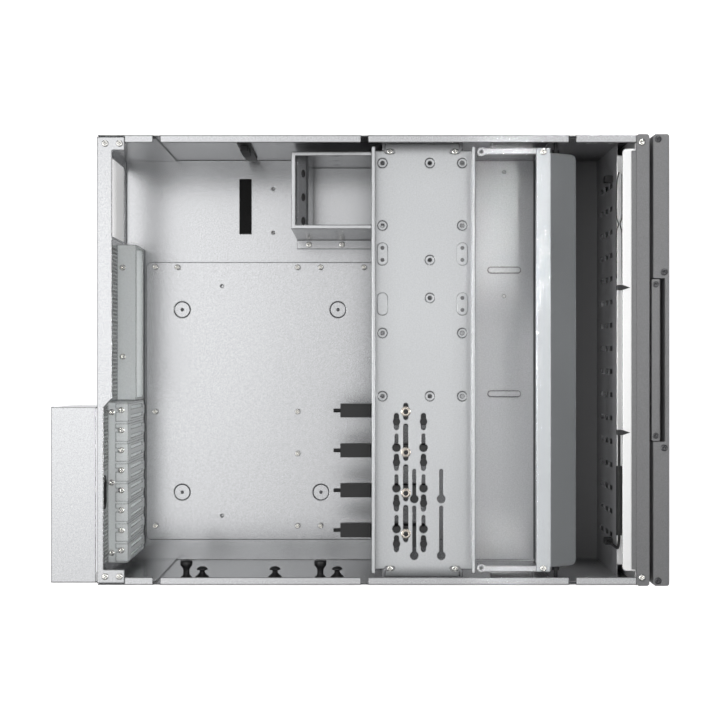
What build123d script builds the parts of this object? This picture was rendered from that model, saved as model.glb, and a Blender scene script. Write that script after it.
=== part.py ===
from build123d import *
import os

os.makedirs("parts", exist_ok=True)

# Driving dimensions of the case, in millimetres
overall_depth = 605.0
case_width = 440.0
case_height = 177.0
front_overhang = 1.0
sheet = 1.2
thin_sheet = 1.0
bend_radius = 2.0

# Clearances
nest_gap = 0.2
slide_gap = 0.35
pin_gap = 0.05
pocket_gap = 0.4

# Fasteners
screw_head = 3.2
screw_rise = 1.6
screw_shank = 1.5
screw_reach = 3.0
screw_hole = 1.7
head_corners = 12
hole_corners = 8

# Stations along the depth, from the door at the front to the hood at the rear
door_thickness = 15.5
door_gap = 4.0
frame_depth = 12.5
hood_depth = 45.0
door_front = -overall_depth / 2
door_back = door_front + door_thickness
frame_front = door_back + door_gap
frame_back = frame_front + frame_depth
hood_back = overall_depth / 2
rear_face = hood_back - hood_depth
wall_inside = rear_face - sheet

# Level of the sheets whose screw heads end flush with the top of the case
sunk_top = case_height - screw_rise

# Inside of the side walls, the half width of sheets between them, and of the front pieces
inner_half = case_width / 2 - sheet
nested_half = inner_half - nest_gap
front_half = case_width / 2 + front_overhang

# Side lips and their notches, counted from the rear
lip_width = 7.3
lip_notch = 7.0
notch_first = 58.5
notch_pitch = 203.5
notch_count = 3

# Motherboard tray and its standoffs
tray_wall_gap = 22.3
tray_rear_gap = 2.7
tray_power_gap = 21.0
tray_length = 333.6
tray_rise = 5.0
tray_corner = 6.0
dimple_top = 9.0
dimple_bottom = 6.6
dimple_hole = 1.8
dimple_side = 52.0
dimple_rear = 39.3
dimple_front_right = 209.6
dimple_front_left = 191.0
tray_hole_side = 26.2
tray_hole_rear = 82.9
standoff_radius = 2.8
standoff_bore = 1.5
standoff_height = 6.5
board_side = 5.8
board_rear = 10.6
board_left = 15.76
board_middle = 157.48
board_columns = (0.0, 154.94, 227.33)
spare_row = 203.2
spare_columns = (24.0, 180.0)

# Rear panel
flange_depth = 14.8
narrow_flange = 6.5
flange_step = 5.0
flange_slant = 9.0
lug_length = 27.0
lug_width = 13.3
lug_screw_insets = (8.0, 22.0)
return_length = 57.0
return_drop = 9.0
power_wall_gap = 9.8
power_width = 81.0
power_bottom = 12.0
power_top_gap = 17.4
power_hole_side = 4.0
power_hole_inset = 12.0
recess_depth = 20.0
recess_rim = 2.5
vent_hole = 3.8
vent_pitch = 10.5
vent_side = 6.0
vent_low = 12.0
vent_high = 36.0
slot_vent_margin = 11.5
slot_vent_columns = 6
grommet_length = 30.0
grommet_height = 16.0
grommet_wall = 2.0
grommet_shift = 7.5

# Board recess and expansion slots
io_wall_gap = 258.3
io_width = 158.75
io_height = 44.45
io_lift = 0.3
io_margin = 2.6
io_rim = 5.0
roof_screw_shifts = (58.0, -36.0)
roof_screw_depth = 6.0
slot_wall_gap = 12.8
slot_count = 8
slot_pitch = 20.32
slot_top_gap = 55.4
slot_end_margin = 10.4
slot_mouth = 12.5
slot_mouth_margin = 10.0
slot_screw_inset = 6.0
slot_screw_shift = 2.5
shelf_screw_inset = 10.0
shelf_screw_depth = 4.0
cover_width = 18.4
cover_foot = 10.0
cover_foot_height = 6.0
cover_tab = 12.0
cover_slit_width = 3.0
cover_slit_rise = 4.0
cover_slit_drop = 6.0

# Rear hood over the slot brackets
hood_wall_gap = 2.0
hood_slot_gap = 3.0
hood_height = 66.0
hood_seam = 0.9
hood_notch = 7.0
hood_hem = 9.0
hood_tab = 9.0

# Power supply pad and clip
pad_width = 13.0
pad_length = 60.0
pad_height = 4.0
pad_side = 10.0
pad_rear = 138.5
pad_round = 1.0
clip_width = 12.0
clip_thickness = 3.0
clip_rear = 140.5
clip_bottom = 20.0
clip_drop = 27.0
clip_corner = 2.0
clip_hook_width = 8.0
clip_hook_height = 44.0
clip_hook_reach = 5.0
clip_hook_rise = 25.0
clip_hook_corner = 1.5

# Posts and buttons on the left wall
wall_level_drop = 45.0
post_stations = (82.5, 217.5)
post_reach = 17.0
post_base = 5.6
post_foot = 3.0
post_neck = 3.2
post_cap = 6.2
post_cap_length = 4.0
button_stations = (98.5, 171.8, 234.5)
button_reach = 11.0
button_base = 7.0
button_foot = 4.5
button_neck = 2.6
button_cap = 5.6
button_cap_length = 3.5
button_tip = 1.6

# Drive cage
cage_station = 188.6
cage_wall_gap = 9.8
cage_width = 77.6
cage_length = 148.9
cage_floor = 20.0
cage_top_gap = 7.0
cage_rim = 4.3
cage_foot = 10.0
cage_foot_length = 89.0
cage_screw_insets = (13.1, 49.2)
cage_slot_length = 26.0
cage_slot_width = 6.0
cage_slot_pitch = 19.0
cage_slot_rise = 42.0
cage_hole = 2.0
cage_hole_spacing = (60.0, 34.0)

# Bridge tray across the case and the ledges that carry it
bridge_station = 268.9
bridge_depth = 101.7
bridge_drop = 30.0
bridge_lip = 3.7
bridge_wall_gap = 9.8
bridge_tab_gap = 2.8
bridge_tab_inset = 14.0
bridge_screw_inset = 18.4
bridge_screw_edge = 4.4
bridge_slot_length = 10.0
bridge_slot_gap = 0.8
ledge_width = 15.0
ledge_height = 15.0
ledge_inset = 10.6
pressing_hole = 1.9
pressing_radius = 5.0
pressing_depth = 0.6
pressing_inset = 11.0
pressing_shift = 7.5
full_rows = (12.4, 245.2)
outer_rows = (74.8, 182.1)
middle_rows = (109.2, 147.1)
oblong_rows = (103.2, 153.1)
oblong_length = 18.0
oblong_width = 4.0
key_width = 3.4
key_stations = (42.8, 69.7)
third_key = (6.0, 28.0)
last_key = (22.0, 48.0)
guide_key = (36.0, 12.0)
lock_run = 20.0

# Card holders under the bridge, with stations counted from its rear edge
holder_count = 4
holder_slots = 2
holder_shift = 1.9
holder_width = 14.0
holder_drop = 40.0
holder_finger_height = 12.0
holder_reach = 31.4
holder_root = 8.6
holder_end = 60.6
holder_nose = 4.0
holder_web = 10.0
holder_rib = 4.0
holder_rib_end = 6.0
holder_flange = 4.0
holder_pin = 7.0
holder_travel = 6.0
stud_radius = 2.0
stud_head = 3.7
stud_head_rise = 2.2
stud_shift = 10.0
stud_proud = 1.5
nut_station = 34.3
guide_stations = (25.0, 52.0)
nut_radius = 4.2
nut_height = 3.4
washer_radius = 5.0
washer_height = 0.8

# Fan bracket with its sloped apron, and the arms beside it
bar_station = 84.0
bar_width = 14.0
apron_run = 27.0
apron_drop = 14.0
apron_inset = 3.5
apron_corner = 6.0
bar_skirt = 9.0
skirt_gap = 2.0
arm_wall_gap = 12.3
arm_width = 5.0
arm_bridge_gap = 6.0
arm_height = 56.0
arm_lobe = 4.6
arm_ledge_drop = 26.0
arm_ledge_end = 11.0
pin_radius = 2.0
pin_length = 13.0
pin_cap = 3.6
pin_cap_length = 3.0
pin_station = 7.0
pin_drop = 17.0

# Floor of the case between the bridge and the fan bracket, and under the power supply
loop_length = 36.0
loop_width = 6.5
loop_height = 2.4
loop_rows = (120.3, 255.8)
loop_station = 14.5
floor_hole_rows = (12.8, 148.8)
power_floor_holes = (8.2, 56.2)
power_floor_station = 26.1

# Black front tray, front wall and ledge
tray_wall_station = 11.0
front_tray_length = 69.5
front_tray_height = 127.0
front_tray_drop = 9.0
intake_width = 5.0
intake_height = 20.0
intake_pitch = (24.0, 28.0)
intake_margin = 20.0
flange_run = 13.5
flange_wall_gap = 11.8
flange_corner = 4.0
flange_square = 6.0
front_window_gap = 28.8
front_window_bottom = 22.0
front_window_drop = 15.0

# Front frame
frame_bar = 12.0
frame_lip = 4.5
frame_lip_rise = 1.8
frame_lip_inset = 2.0
frame_screw_inset = 8.0
frame_screw_shift = 1.0
edge_round = 2.5

# Door with its mesh and finger pull
door_bottom = 1.0
door_side_bar = 31.0
door_low_bar = 26.0
door_top_bar = 35.0
door_rebate = 4.0
door_skin = 4.5
mesh_thickness = 1.2
mesh_hole = 7.6
mesh_pitch = 18.5
handle_half = 80.0
handle_depth = 22.0
handle_skin = 4.0
handle_bar_depth = 7.5
handle_bar_proud = 1.5
handle_bar_gap = 1.0
handle_bar_round = 1.5
door_screw_inset = 5.0
door_screw_depth = 4.5
pull_screw_gap = 6.0
pull_screw_depth = 5.0
bar_screw_inset = 5.0

# Door hinges
hinge_inset = 7.0
hinge_setback = 7.5
hinge_level = 29.0
hinge_pin_radius = 2.0
hinge_pin_bury = 7.0
hinge_arm_half = 3.8
hinge_arm_height = 8.0
hinge_notch_height = 14.0
hinge_notch_width = 15.0
hinge_notch_skin = 3.5
hinge_foot = 16.0
hinge_foot_height = 18.0
hinge_foot_depth = 2.0

# Panel cables clipped along the front flange
cable_radius = 1.4
cable_below = 3.7
cable_behind = 2.6
cable_bend = 12.0
cable_turn_gap = 21.0
cable_clip_half = 71.0
cable_clip_width = 5.0
cable_clip_cap = 1.6
cable_clip_point = 7.5
sleeve_radius = 3.0
sleeve_from_clip = 33.0
sleeve_from_turn = 14.0
boot_half = 3.4
boot_height = 10.0
boot_drop = 21.0
boot_round = 1.2

# Side holes for rack ears
ear_spacing_y = 22.0
ear_spacing_z = 100.0
ear_hole = 2.2
ear_inset = 30.0


def block(x, y, z, mode=Mode.ADD):
    """Add or cut a block between the two values given for each axis."""
    with Locations(((x[0] + x[1]) / 2, (y[0] + y[1]) / 2, (z[0] + z[1]) / 2)):
        Box(abs(x[1] - x[0]), abs(y[1] - y[0]), abs(z[1] - z[0]), mode=mode)


def upright(radius, bottom, top, mode=Mode.ADD):
    """Add or cut a standing cylinder between two heights at the present place."""
    with Locations((0, 0, (bottom + top) / 2)):
        Cylinder(radius, top - bottom, mode=mode)


def prisms(places, radius, bottom, top, corners=head_corners, mode=Mode.ADD):
    """Add or cut a standing many-sided bar between two heights at each place."""
    with BuildSketch(Plane.XY.offset(bottom)) as outline:
        with Locations(*places):
            RegularPolygon(radius, corners)
    extrude(outline.sketch, amount=top - bottom, mode=mode)


def drill(places, bottom, top, radius=screw_hole, corners=hole_corners):
    """Cut a standing hole with few sides at each place."""
    prisms(places, radius, bottom, top, corners, Mode.SUBTRACT)


def cut_slots(places, length, width, bottom, top, turn=90):
    """Cut a standing long hole with many-sided ends at each place; a turn of 90 runs it along the depth."""
    with BuildSketch(Plane.XY.offset(bottom)) as outline:
        with Locations(*[Location((x, y, 0), (0, 0, turn)) for x, y in places]):
            Rectangle(length - width, width)
            with GridLocations(length - width, 1, 2, 1):
                RegularPolygon(width / 2, hole_corners)
    extrude(outline.sketch, amount=top - bottom, mode=Mode.SUBTRACT)


def pocket(places, top, head):
    """Cut a sunk seat for a screw head and its pilot hole at each place."""
    drill(places, top - screw_rise, top, head, head_corners)
    drill(places, top - screw_rise - screw_reach, top - screw_rise, screw_shank)


def screws(places, seat, reach=screw_reach):
    """Add a pan-head screw at each place, standing on a seat at this height."""
    prisms(places, screw_head, seat, seat + screw_rise)
    prisms(places, screw_shank, seat - reach, seat, hole_corners)


def finish_node(node, name):
    """Label a finished piece and write it."""
    node.part.label = name
    export_step(node.part, f"parts/{name}.step")


# Rear end: the recessed plane, the board's level and the slots
slot_plane = wall_inside - recess_depth
tray_top = sheet + tray_rise
board_level = tray_top + standoff_height
io_centre = -inner_half + io_wall_gap
io_bottom = board_level + io_lift
io_floor = io_bottom - io_rim
io_roof = io_bottom + io_height + io_rim
io_left = io_centre - io_width / 2 - io_margin
io_right = io_centre + io_width / 2 + io_margin
slot_left = -inner_half + slot_wall_gap
slot_places = [slot_left + slot_end_margin + slot_pitch * i for i in reversed(range(slot_count))]
slot_right = slot_places[0] + slot_end_margin
slot_middle = (slot_left + slot_right) / 2
slot_floor = io_floor
slot_shelf = sunk_top - slot_top_gap
slot_screw_y = slot_plane + slot_screw_inset
mouth_bottom = slot_floor + slot_mouth_margin
mouth_top = slot_shelf - slot_mouth_margin
lug_inner = nested_half - lug_width
power_right = inner_half - power_wall_gap
power_left = power_right - power_width
power_height = sunk_top - power_top_gap - power_bottom

# Drive cage, bridge and card holders
cage_back = rear_face - cage_station
cage_front = cage_back - cage_length
cage_right = inner_half - cage_wall_gap
cage_left = cage_right - cage_width
bridge_back = rear_face - bridge_station
bridge_front = bridge_back - bridge_depth
bridge_middle = (bridge_front + bridge_back) / 2
bridge_top = case_height - bridge_drop
bridge_bottom = bridge_top - sheet
bridge_half = inner_half - bridge_wall_gap
bridge_tab_half = inner_half - bridge_tab_gap
bridge_screw_half = inner_half - ledge_width + bridge_screw_edge
cage_top = bridge_top - cage_top_gap
holder_places = [slot_places[0] + holder_shift - holder_slots * slot_pitch * i for i in range(holder_count)]
nut_y = bridge_back - nut_station
guide_y = [bridge_back - station for station in guide_stations]

# Front end: the fan bracket, the tray, the front wall and the door
bar_front = frame_back + bar_station
bar_back = bar_front + bar_width
bar_middle = (bar_back + bar_front) / 2
apron_front = bar_front - apron_run
arm_outer = inner_half - arm_wall_gap
arm_end = bridge_front - arm_bridge_gap
arm_top = sunk_top - sheet
arm_middle = arm_outer - arm_width / 2
apron_half = arm_outer - apron_inset
front_tray_wall = frame_back + tray_wall_station
front_tray_back = front_tray_wall + front_tray_length
front_tray_side = case_height - front_tray_drop
flange_back = frame_back + flange_run
flange_half = inner_half - flange_wall_gap
flange_top = sunk_top - sheet
handle_bar_back = door_back + handle_bar_proud
handle_bar_front = handle_bar_back - handle_bar_depth
handle_bar_half = handle_half - handle_bar_gap
hinge_x = -front_half + hinge_inset
hinge_y = door_back - hinge_setback
hinge_levels = {"lower": hinge_level, "upper": case_height - hinge_level}
hinge_pin_half = hinge_notch_height / 2 + hinge_pin_bury

# Places that more than one piece shares
sides = (-1, 1)
ear_y = frame_back + ear_inset
ear_z = case_height / 2
ear_places = [
    (ear_y + a * ear_spacing_y / 2, ear_z + b * ear_spacing_z / 2)
    for a in sides
    for b in sides
]
lug_screws = [(s * (nested_half - lug_width / 2), rear_face - d) for s in sides for d in lug_screw_insets]
shelf_screws = [
    (x, wall_inside - shelf_screw_depth)
    for x in (slot_right - shelf_screw_inset, slot_middle, slot_left + shelf_screw_inset)
]
roof_screws = [(io_centre + shift, wall_inside - roof_screw_depth) for shift in roof_screw_shifts]
slot_screw_places = [(x + slot_screw_shift, slot_screw_y) for x in slot_places]
cage_screws = [(cage_left - cage_foot / 2, cage_back - d) for d in cage_screw_insets]
bridge_screws = [
    (s * bridge_screw_half, y)
    for s in sides
    for y in (bridge_back - bridge_screw_inset, bridge_front + bridge_screw_inset)
]
bar_screws = [(s * arm_middle, bar_middle) for s in sides]
frame_screw_y = (frame_front + frame_back) / 2 + frame_screw_shift
frame_screws = [(s * (front_half - frame_screw_inset), frame_screw_y) for s in sides]
door_screws = [(s * (front_half - door_screw_inset), door_back - door_screw_depth) for s in sides]
door_screws += [(s * (handle_half + pull_screw_gap), door_front + pull_screw_depth) for s in sides]
handle_screw_y = (handle_bar_back + handle_bar_front) / 2
handle_screws = [(s * (handle_bar_half - bar_screw_inset), handle_screw_y) for s in sides]

# Base pan: floor, two side walls and their top lips folded from one sheet
lip_end = rear_face - lug_length - nest_gap
power_floor_y = cage_back + power_floor_station
fan_floor_y = bar_back + loop_station
floor_holes = [(cage_left + d, power_floor_y) for d in power_floor_holes]
floor_holes += [(inner_half - d, fan_floor_y) for d in floor_hole_rows]
with BuildPart() as base_pan:
    with BuildSketch(Plane.XZ.offset(-wall_inside)):
        with Locations((0, case_height / 2)):
            Rectangle(case_width, case_height)
            Rectangle(case_width - 2 * sheet, case_height - 2 * sheet, mode=Mode.SUBTRACT)
        with Locations((0, case_height - sheet / 2)):
            Rectangle(case_width - 2 * lip_width, sheet, mode=Mode.SUBTRACT)
    extrude(amount=wall_inside - frame_back)
    long_edges = base_pan.edges().filter_by(Axis.Y)
    fillet(long_edges.group_by(Axis.Z)[0], bend_radius)
    block(
        (-inner_half, inner_half),
        (lip_end, wall_inside),
        (case_height - sheet, case_height),
        Mode.SUBTRACT,
    )
    for side in sides:
        for i in range(notch_count):
            station = rear_face - notch_first - notch_pitch * i
            block(
                (side * (case_width / 2 - lip_width), side * case_width / 2),
                (station - lip_notch / 2, station + lip_notch / 2),
                (case_height - 2 * sheet, case_height),
                Mode.SUBTRACT,
            )
    with BuildSketch(Plane.YZ.offset(-case_width / 2)):
        with Locations(*ear_places):
            Circle(ear_hole)
    extrude(amount=case_width, mode=Mode.SUBTRACT)
    drill(floor_holes + cage_screws, 0, sheet)
    with BuildSketch(Plane.XY.offset(sheet)):
        with Locations(*[(inner_half - d, fan_floor_y) for d in loop_rows]):
            SlotOverall(loop_length, loop_width, rotation=90)
    extrude(amount=loop_height)
finish_node(base_pan, "base_pan")

# Rear panel: wall, stepped top flange with corner lugs, and side returns
flange_turn = slot_right + flange_step
vent_bottom = io_roof + vent_low
vent_top = sunk_top - vent_high
vent_rows = int((vent_top - vent_bottom) / vent_pitch)
vent_columns = int((io_right - io_left - 2 * vent_side) / vent_pitch)
slot_vent_x = slot_middle - grommet_shift
slot_vent_z = (slot_shelf + sunk_top) / 2
slot_vent_rows = int((sunk_top - slot_shelf - 2 * slot_vent_margin) / vent_pitch)
slot_vent_shift = (slot_vent_columns * vent_pitch + grommet_length + vent_pitch) / 2
with BuildPart() as rear_panel:
    block((-nested_half, nested_half), (wall_inside, rear_face), (sheet, sunk_top))
    with BuildSketch(Plane.XY.offset(sunk_top - sheet)):
        with BuildLine():
            Polyline(
                (nested_half, rear_face),
                (nested_half, rear_face - lug_length),
                (lug_inner, rear_face - lug_length),
                (lug_inner, rear_face - flange_depth),
                (flange_turn, rear_face - flange_depth),
                (flange_turn - flange_slant, rear_face - narrow_flange),
                (-lug_inner, rear_face - narrow_flange),
                (-lug_inner, rear_face - lug_length),
                (-nested_half, rear_face - lug_length),
                (-nested_half, rear_face),
                close=True,
            )
        make_face()
    extrude(amount=sheet)
    for side in sides:
        block(
            (side * nested_half, side * (nested_half - sheet)),
            (rear_face - return_length, wall_inside),
            (sheet, case_height - return_drop),
        )
    drill(lug_screws, sunk_top - sheet, sunk_top)
    with BuildSketch(Plane.XZ.offset(-rear_face)):
        with Locations((power_left + power_width / 2, power_bottom + power_height / 2)):
            Rectangle(power_width, power_height)
            with GridLocations(
                power_width + 2 * power_hole_side, power_height - 2 * power_hole_inset, 2, 2
            ):
                Circle(screw_hole)
        with Locations((io_centre, (io_roof + io_floor) / 2)):
            Rectangle(io_right - io_left - 2 * recess_rim, io_roof - io_floor - 2 * recess_rim)
        with Locations((slot_middle, (slot_shelf + slot_floor) / 2)):
            Rectangle(slot_right - slot_left - 2 * recess_rim, slot_shelf - slot_floor - 2 * recess_rim)
        with Locations((io_centre, (vent_bottom + vent_top) / 2)):
            with GridLocations(vent_pitch, vent_pitch, vent_columns, vent_rows):
                RegularPolygon(vent_hole, 6)
        with Locations((slot_vent_x, slot_vent_z)):
            SlotOverall(grommet_length, grommet_height)
        for side in sides:
            with Locations((slot_vent_x + side * slot_vent_shift, slot_vent_z)):
                with GridLocations(vent_pitch, vent_pitch, slot_vent_columns, slot_vent_rows):
                    RegularPolygon(vent_hole, 6)
    extrude(amount=sheet, mode=Mode.SUBTRACT)
finish_node(rear_panel, "rear_panel")

# Rubber grommet in the vent above the slots
grommet_bore = (grommet_length - 2 * grommet_wall, grommet_height - 2 * grommet_wall)
with BuildPart() as cable_grommet:
    with BuildSketch(Plane.XZ.offset(-rear_face)):
        with Locations((slot_vent_x, slot_vent_z)):
            SlotOverall(grommet_length, grommet_height)
            SlotOverall(*grommet_bore, mode=Mode.SUBTRACT)
    extrude(amount=sheet)
    with BuildSketch(Plane.XZ.offset(-wall_inside)):
        with Locations((slot_vent_x, slot_vent_z)):
            SlotOverall(grommet_length + 2 * grommet_wall, grommet_height + 2 * grommet_wall)
            SlotOverall(*grommet_bore, mode=Mode.SUBTRACT)
    extrude(amount=grommet_wall)
finish_node(cable_grommet, "cable_grommet")

# Recessed frame for the board's rear connectors
with BuildPart() as io_frame:
    block((io_left, io_right), (slot_plane, wall_inside), (io_floor, io_roof))
    block(
        (io_left + sheet, io_right - sheet),
        (slot_plane + sheet, wall_inside),
        (io_floor + sheet, io_roof - sheet),
        Mode.SUBTRACT,
    )
    with BuildSketch(Plane.XZ.offset(-slot_plane - sheet)):
        with Locations((io_centre, io_bottom + io_height / 2)):
            Rectangle(io_width, io_height)
    extrude(amount=sheet, mode=Mode.SUBTRACT)
    drill(roof_screws, io_roof - sheet, io_roof)
finish_node(io_frame, "io_frame")

# Recessed frame for the expansion slots
with BuildPart() as slot_frame:
    block((slot_left, slot_right), (slot_plane, wall_inside), (slot_floor, slot_shelf))
    block(
        (slot_left + sheet, slot_right - sheet),
        (slot_plane + sheet, wall_inside),
        (slot_floor + sheet, slot_shelf - sheet),
        Mode.SUBTRACT,
    )
    with BuildSketch(Plane.XZ.offset(-slot_plane - sheet)):
        with Locations(*[(x, (mouth_bottom + mouth_top) / 2) for x in slot_places]):
            Rectangle(slot_mouth, mouth_top - mouth_bottom)
    extrude(amount=sheet, mode=Mode.SUBTRACT)
    drill(slot_screw_places + shelf_screws, slot_shelf - sheet, slot_shelf)
finish_node(slot_frame, "slot_frame")

# Slot covers: an L-shaped blank with two long slits, a foot and a screw tab
cover_bottom = slot_floor + cover_foot_height
slit_bottom = mouth_bottom + cover_slit_rise
slit_top = mouth_top - cover_slit_drop
for index, x in enumerate(slot_places):
    with BuildPart() as slot_cover:
        with BuildSketch(Plane.YZ.offset(x - cover_width / 2)):
            with BuildLine():
                Polyline(
                    (slot_plane - thin_sheet, cover_bottom),
                    (slot_plane, cover_bottom),
                    (slot_plane, slot_shelf),
                    (slot_plane + cover_tab, slot_shelf),
                    (slot_plane + cover_tab, slot_shelf + thin_sheet),
                    (slot_plane - thin_sheet, slot_shelf + thin_sheet),
                    close=True,
                )
            make_face()
        extrude(amount=cover_width)
        block(
            (x - cover_foot / 2, x + cover_foot / 2),
            (slot_plane - thin_sheet, slot_plane),
            (slot_floor, cover_bottom),
        )
        for side in sides:
            slit = x + side * cover_width / 4
            block(
                (slit - cover_slit_width / 2, slit + cover_slit_width / 2),
                (slot_plane - thin_sheet, slot_plane),
                (slit_bottom, slit_top),
                Mode.SUBTRACT,
            )
        block(
            (x + slot_screw_shift - screw_hole, x + slot_screw_shift + screw_hole),
            (slot_screw_y - screw_hole, slot_plane + cover_tab),
            (slot_shelf, slot_shelf + thin_sheet),
            Mode.SUBTRACT,
        )
    finish_node(slot_cover, f"slot_cover_{index + 1}")

# Screws of the slot covers
with BuildPart() as slot_screws:
    screws(slot_screw_places, slot_shelf + thin_sheet)
finish_node(slot_screws, "slot_screws")

# Rear hood: a folded cover over the slot brackets, open below
hood_outer = -case_width / 2 + hood_wall_gap
hood_inner = slot_right - hood_slot_gap
hood_bottom = sunk_top - hood_height
with BuildPart() as rear_hood:
    block((hood_outer, hood_inner), (rear_face + hood_seam, hood_back), (sunk_top - sheet, sunk_top))
    block((hood_outer, hood_inner), (hood_back - sheet, hood_back), (sunk_top - hood_hem, sunk_top))
    for wall, toward in ((hood_outer, 1), (hood_inner, -1)):
        block(
            (wall, wall + toward * sheet),
            (rear_face, hood_back - hood_notch),
            (hood_bottom, sunk_top - sheet),
        )
        block(
            (wall, wall + toward * hood_tab),
            (rear_face, rear_face + sheet),
            (slot_shelf, sunk_top - hood_hem),
        )
finish_node(rear_hood, "rear_hood")

# Motherboard tray: a shallow pressed plate on the floor with four round dimples
tray_left = -inner_half + tray_wall_gap
tray_right = power_left - tray_power_gap
tray_width = tray_right - tray_left
tray_back = slot_plane - tray_rear_gap
tray_centre = (tray_left + tray_width / 2, tray_back - tray_length / 2)
dimples = [
    (tray_right - dimple_side, tray_back - dimple_rear),
    (tray_right - dimple_side, tray_back - dimple_front_right),
    (tray_left + dimple_side, tray_back - dimple_rear),
    (tray_left + dimple_side, tray_back - dimple_front_left),
]
tray_holes = [
    (tray_right - tray_hole_side, tray_back - tray_hole_rear),
    (tray_left + tray_hole_side, tray_back - tray_hole_rear),
]
with BuildPart() as motherboard_tray:
    with BuildSketch(Plane.XY.offset(sheet)):
        with Locations(tray_centre):
            RectangleRounded(tray_width, tray_length, tray_corner)
    extrude(amount=tray_rise)
    with BuildSketch(Plane.XY.offset(sheet)):
        with Locations(tray_centre):
            RectangleRounded(tray_width - 2 * sheet, tray_length - 2 * sheet, tray_corner - sheet)
    extrude(amount=tray_rise - sheet, mode=Mode.SUBTRACT)
    for x, y in dimples:
        with Locations((x, y, 0)):
            upright(dimple_top, sheet, tray_top - sheet)
            with Locations((0, 0, (2 * sheet + tray_top) / 2)):
                Cone(dimple_bottom, dimple_top, tray_rise - sheet, mode=Mode.SUBTRACT)
            upright(dimple_hole, sheet, 2 * sheet, Mode.SUBTRACT)
    drill(tray_holes, tray_top - sheet, tray_top)
finish_node(motherboard_tray, "motherboard_tray")

# Standoffs on the tray, on the board's usual hole pattern
first_row = tray_right - board_side
last_row = tray_left + board_left
board_y = tray_back - board_rear
board_rows = (first_row, first_row - board_middle, last_row)
corners = [(row, board_y - column) for row in board_rows[::2] for column in board_columns[::2]]
inner = [(row, board_y - board_columns[1]) for row in board_rows]
inner += [(board_rows[1], board_y - column) for column in board_columns[::2]]
inner += [(first_row, board_y - column) for column in spare_columns]
inner += [(last_row, board_y - spare_columns[1]), (first_row - spare_row, board_y - board_columns[1])]
with BuildPart() as board_standoffs:
    prisms(corners + inner, standoff_radius, tray_top, board_level)
    drill(inner, tray_top, board_level, standoff_bore)
    for x, y in corners:
        with Locations((x, y, 0)):
            upright(standoff_bore, tray_top, board_level, Mode.SUBTRACT)
finish_node(board_standoffs, "board_standoffs")

# Foam pad under the power supply
pad_left = power_left + pad_side
pad_y = rear_face - pad_rear
with BuildPart() as power_pad:
    block((pad_left, pad_left + pad_length), (pad_y, pad_y + pad_width), (sheet, sheet + pad_height))
    fillet(power_pad.edges().group_by(Axis.Z)[-1], pad_round)
finish_node(power_pad, "power_pad")

# Clip for the power supply on the right wall: a strip with a hook
clip_face = inner_half - clip_thickness
clip_y = rear_face - clip_rear
clip_height = case_height - clip_drop - clip_bottom
clip_z = clip_bottom + clip_height / 2
with BuildPart() as power_clip:
    with BuildSketch(Plane.YZ.offset(clip_face)):
        with Locations((clip_y, clip_z)):
            RectangleRounded(clip_width, clip_height, clip_corner)
    extrude(amount=clip_thickness)
    with BuildSketch(Plane.YZ.offset(clip_face)):
        with Locations((clip_y, clip_z + clip_hook_rise)):
            RectangleRounded(clip_hook_width, clip_hook_height, clip_hook_corner)
    extrude(amount=-clip_hook_reach)
finish_node(power_clip, "power_clip")

# Mushroom posts on the left wall
wall_level = case_height - wall_level_drop
with BuildPart() as wall_posts:
    for station in post_stations:
        foot = (-inner_half, rear_face - station, wall_level)
        with BuildSketch(Plane(foot, x_dir=(1, 0, 0), z_dir=(0, -1, 0))):
            with BuildLine():
                Polyline(
                    (0, 0),
                    (0, post_base),
                    (post_foot, post_neck),
                    (post_reach - 2 * post_cap_length, post_neck),
                    (post_reach - post_cap_length, post_cap),
                    (post_reach, post_cap),
                    (post_reach, 0),
                    close=True,
                )
            make_face()
        revolve(axis=Axis(foot, (1, 0, 0)))
finish_node(wall_posts, "wall_posts")

# Buttons on the left wall
with BuildPart() as wall_buttons:
    for station in button_stations:
        foot = (-inner_half, rear_face - station, wall_level)
        with BuildSketch(Plane(foot, x_dir=(1, 0, 0), z_dir=(0, -1, 0))):
            with BuildLine():
                Polyline(
                    (0, 0),
                    (0, button_base),
                    (button_foot, button_neck),
                    (button_reach - button_cap_length, button_neck),
                    (button_reach - button_cap_length, button_cap),
                    (button_reach, button_tip),
                    (button_reach, 0),
                    close=True,
                )
            make_face()
        revolve(axis=Axis(foot, (1, 0, 0)))
finish_node(wall_buttons, "wall_buttons")

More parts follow.
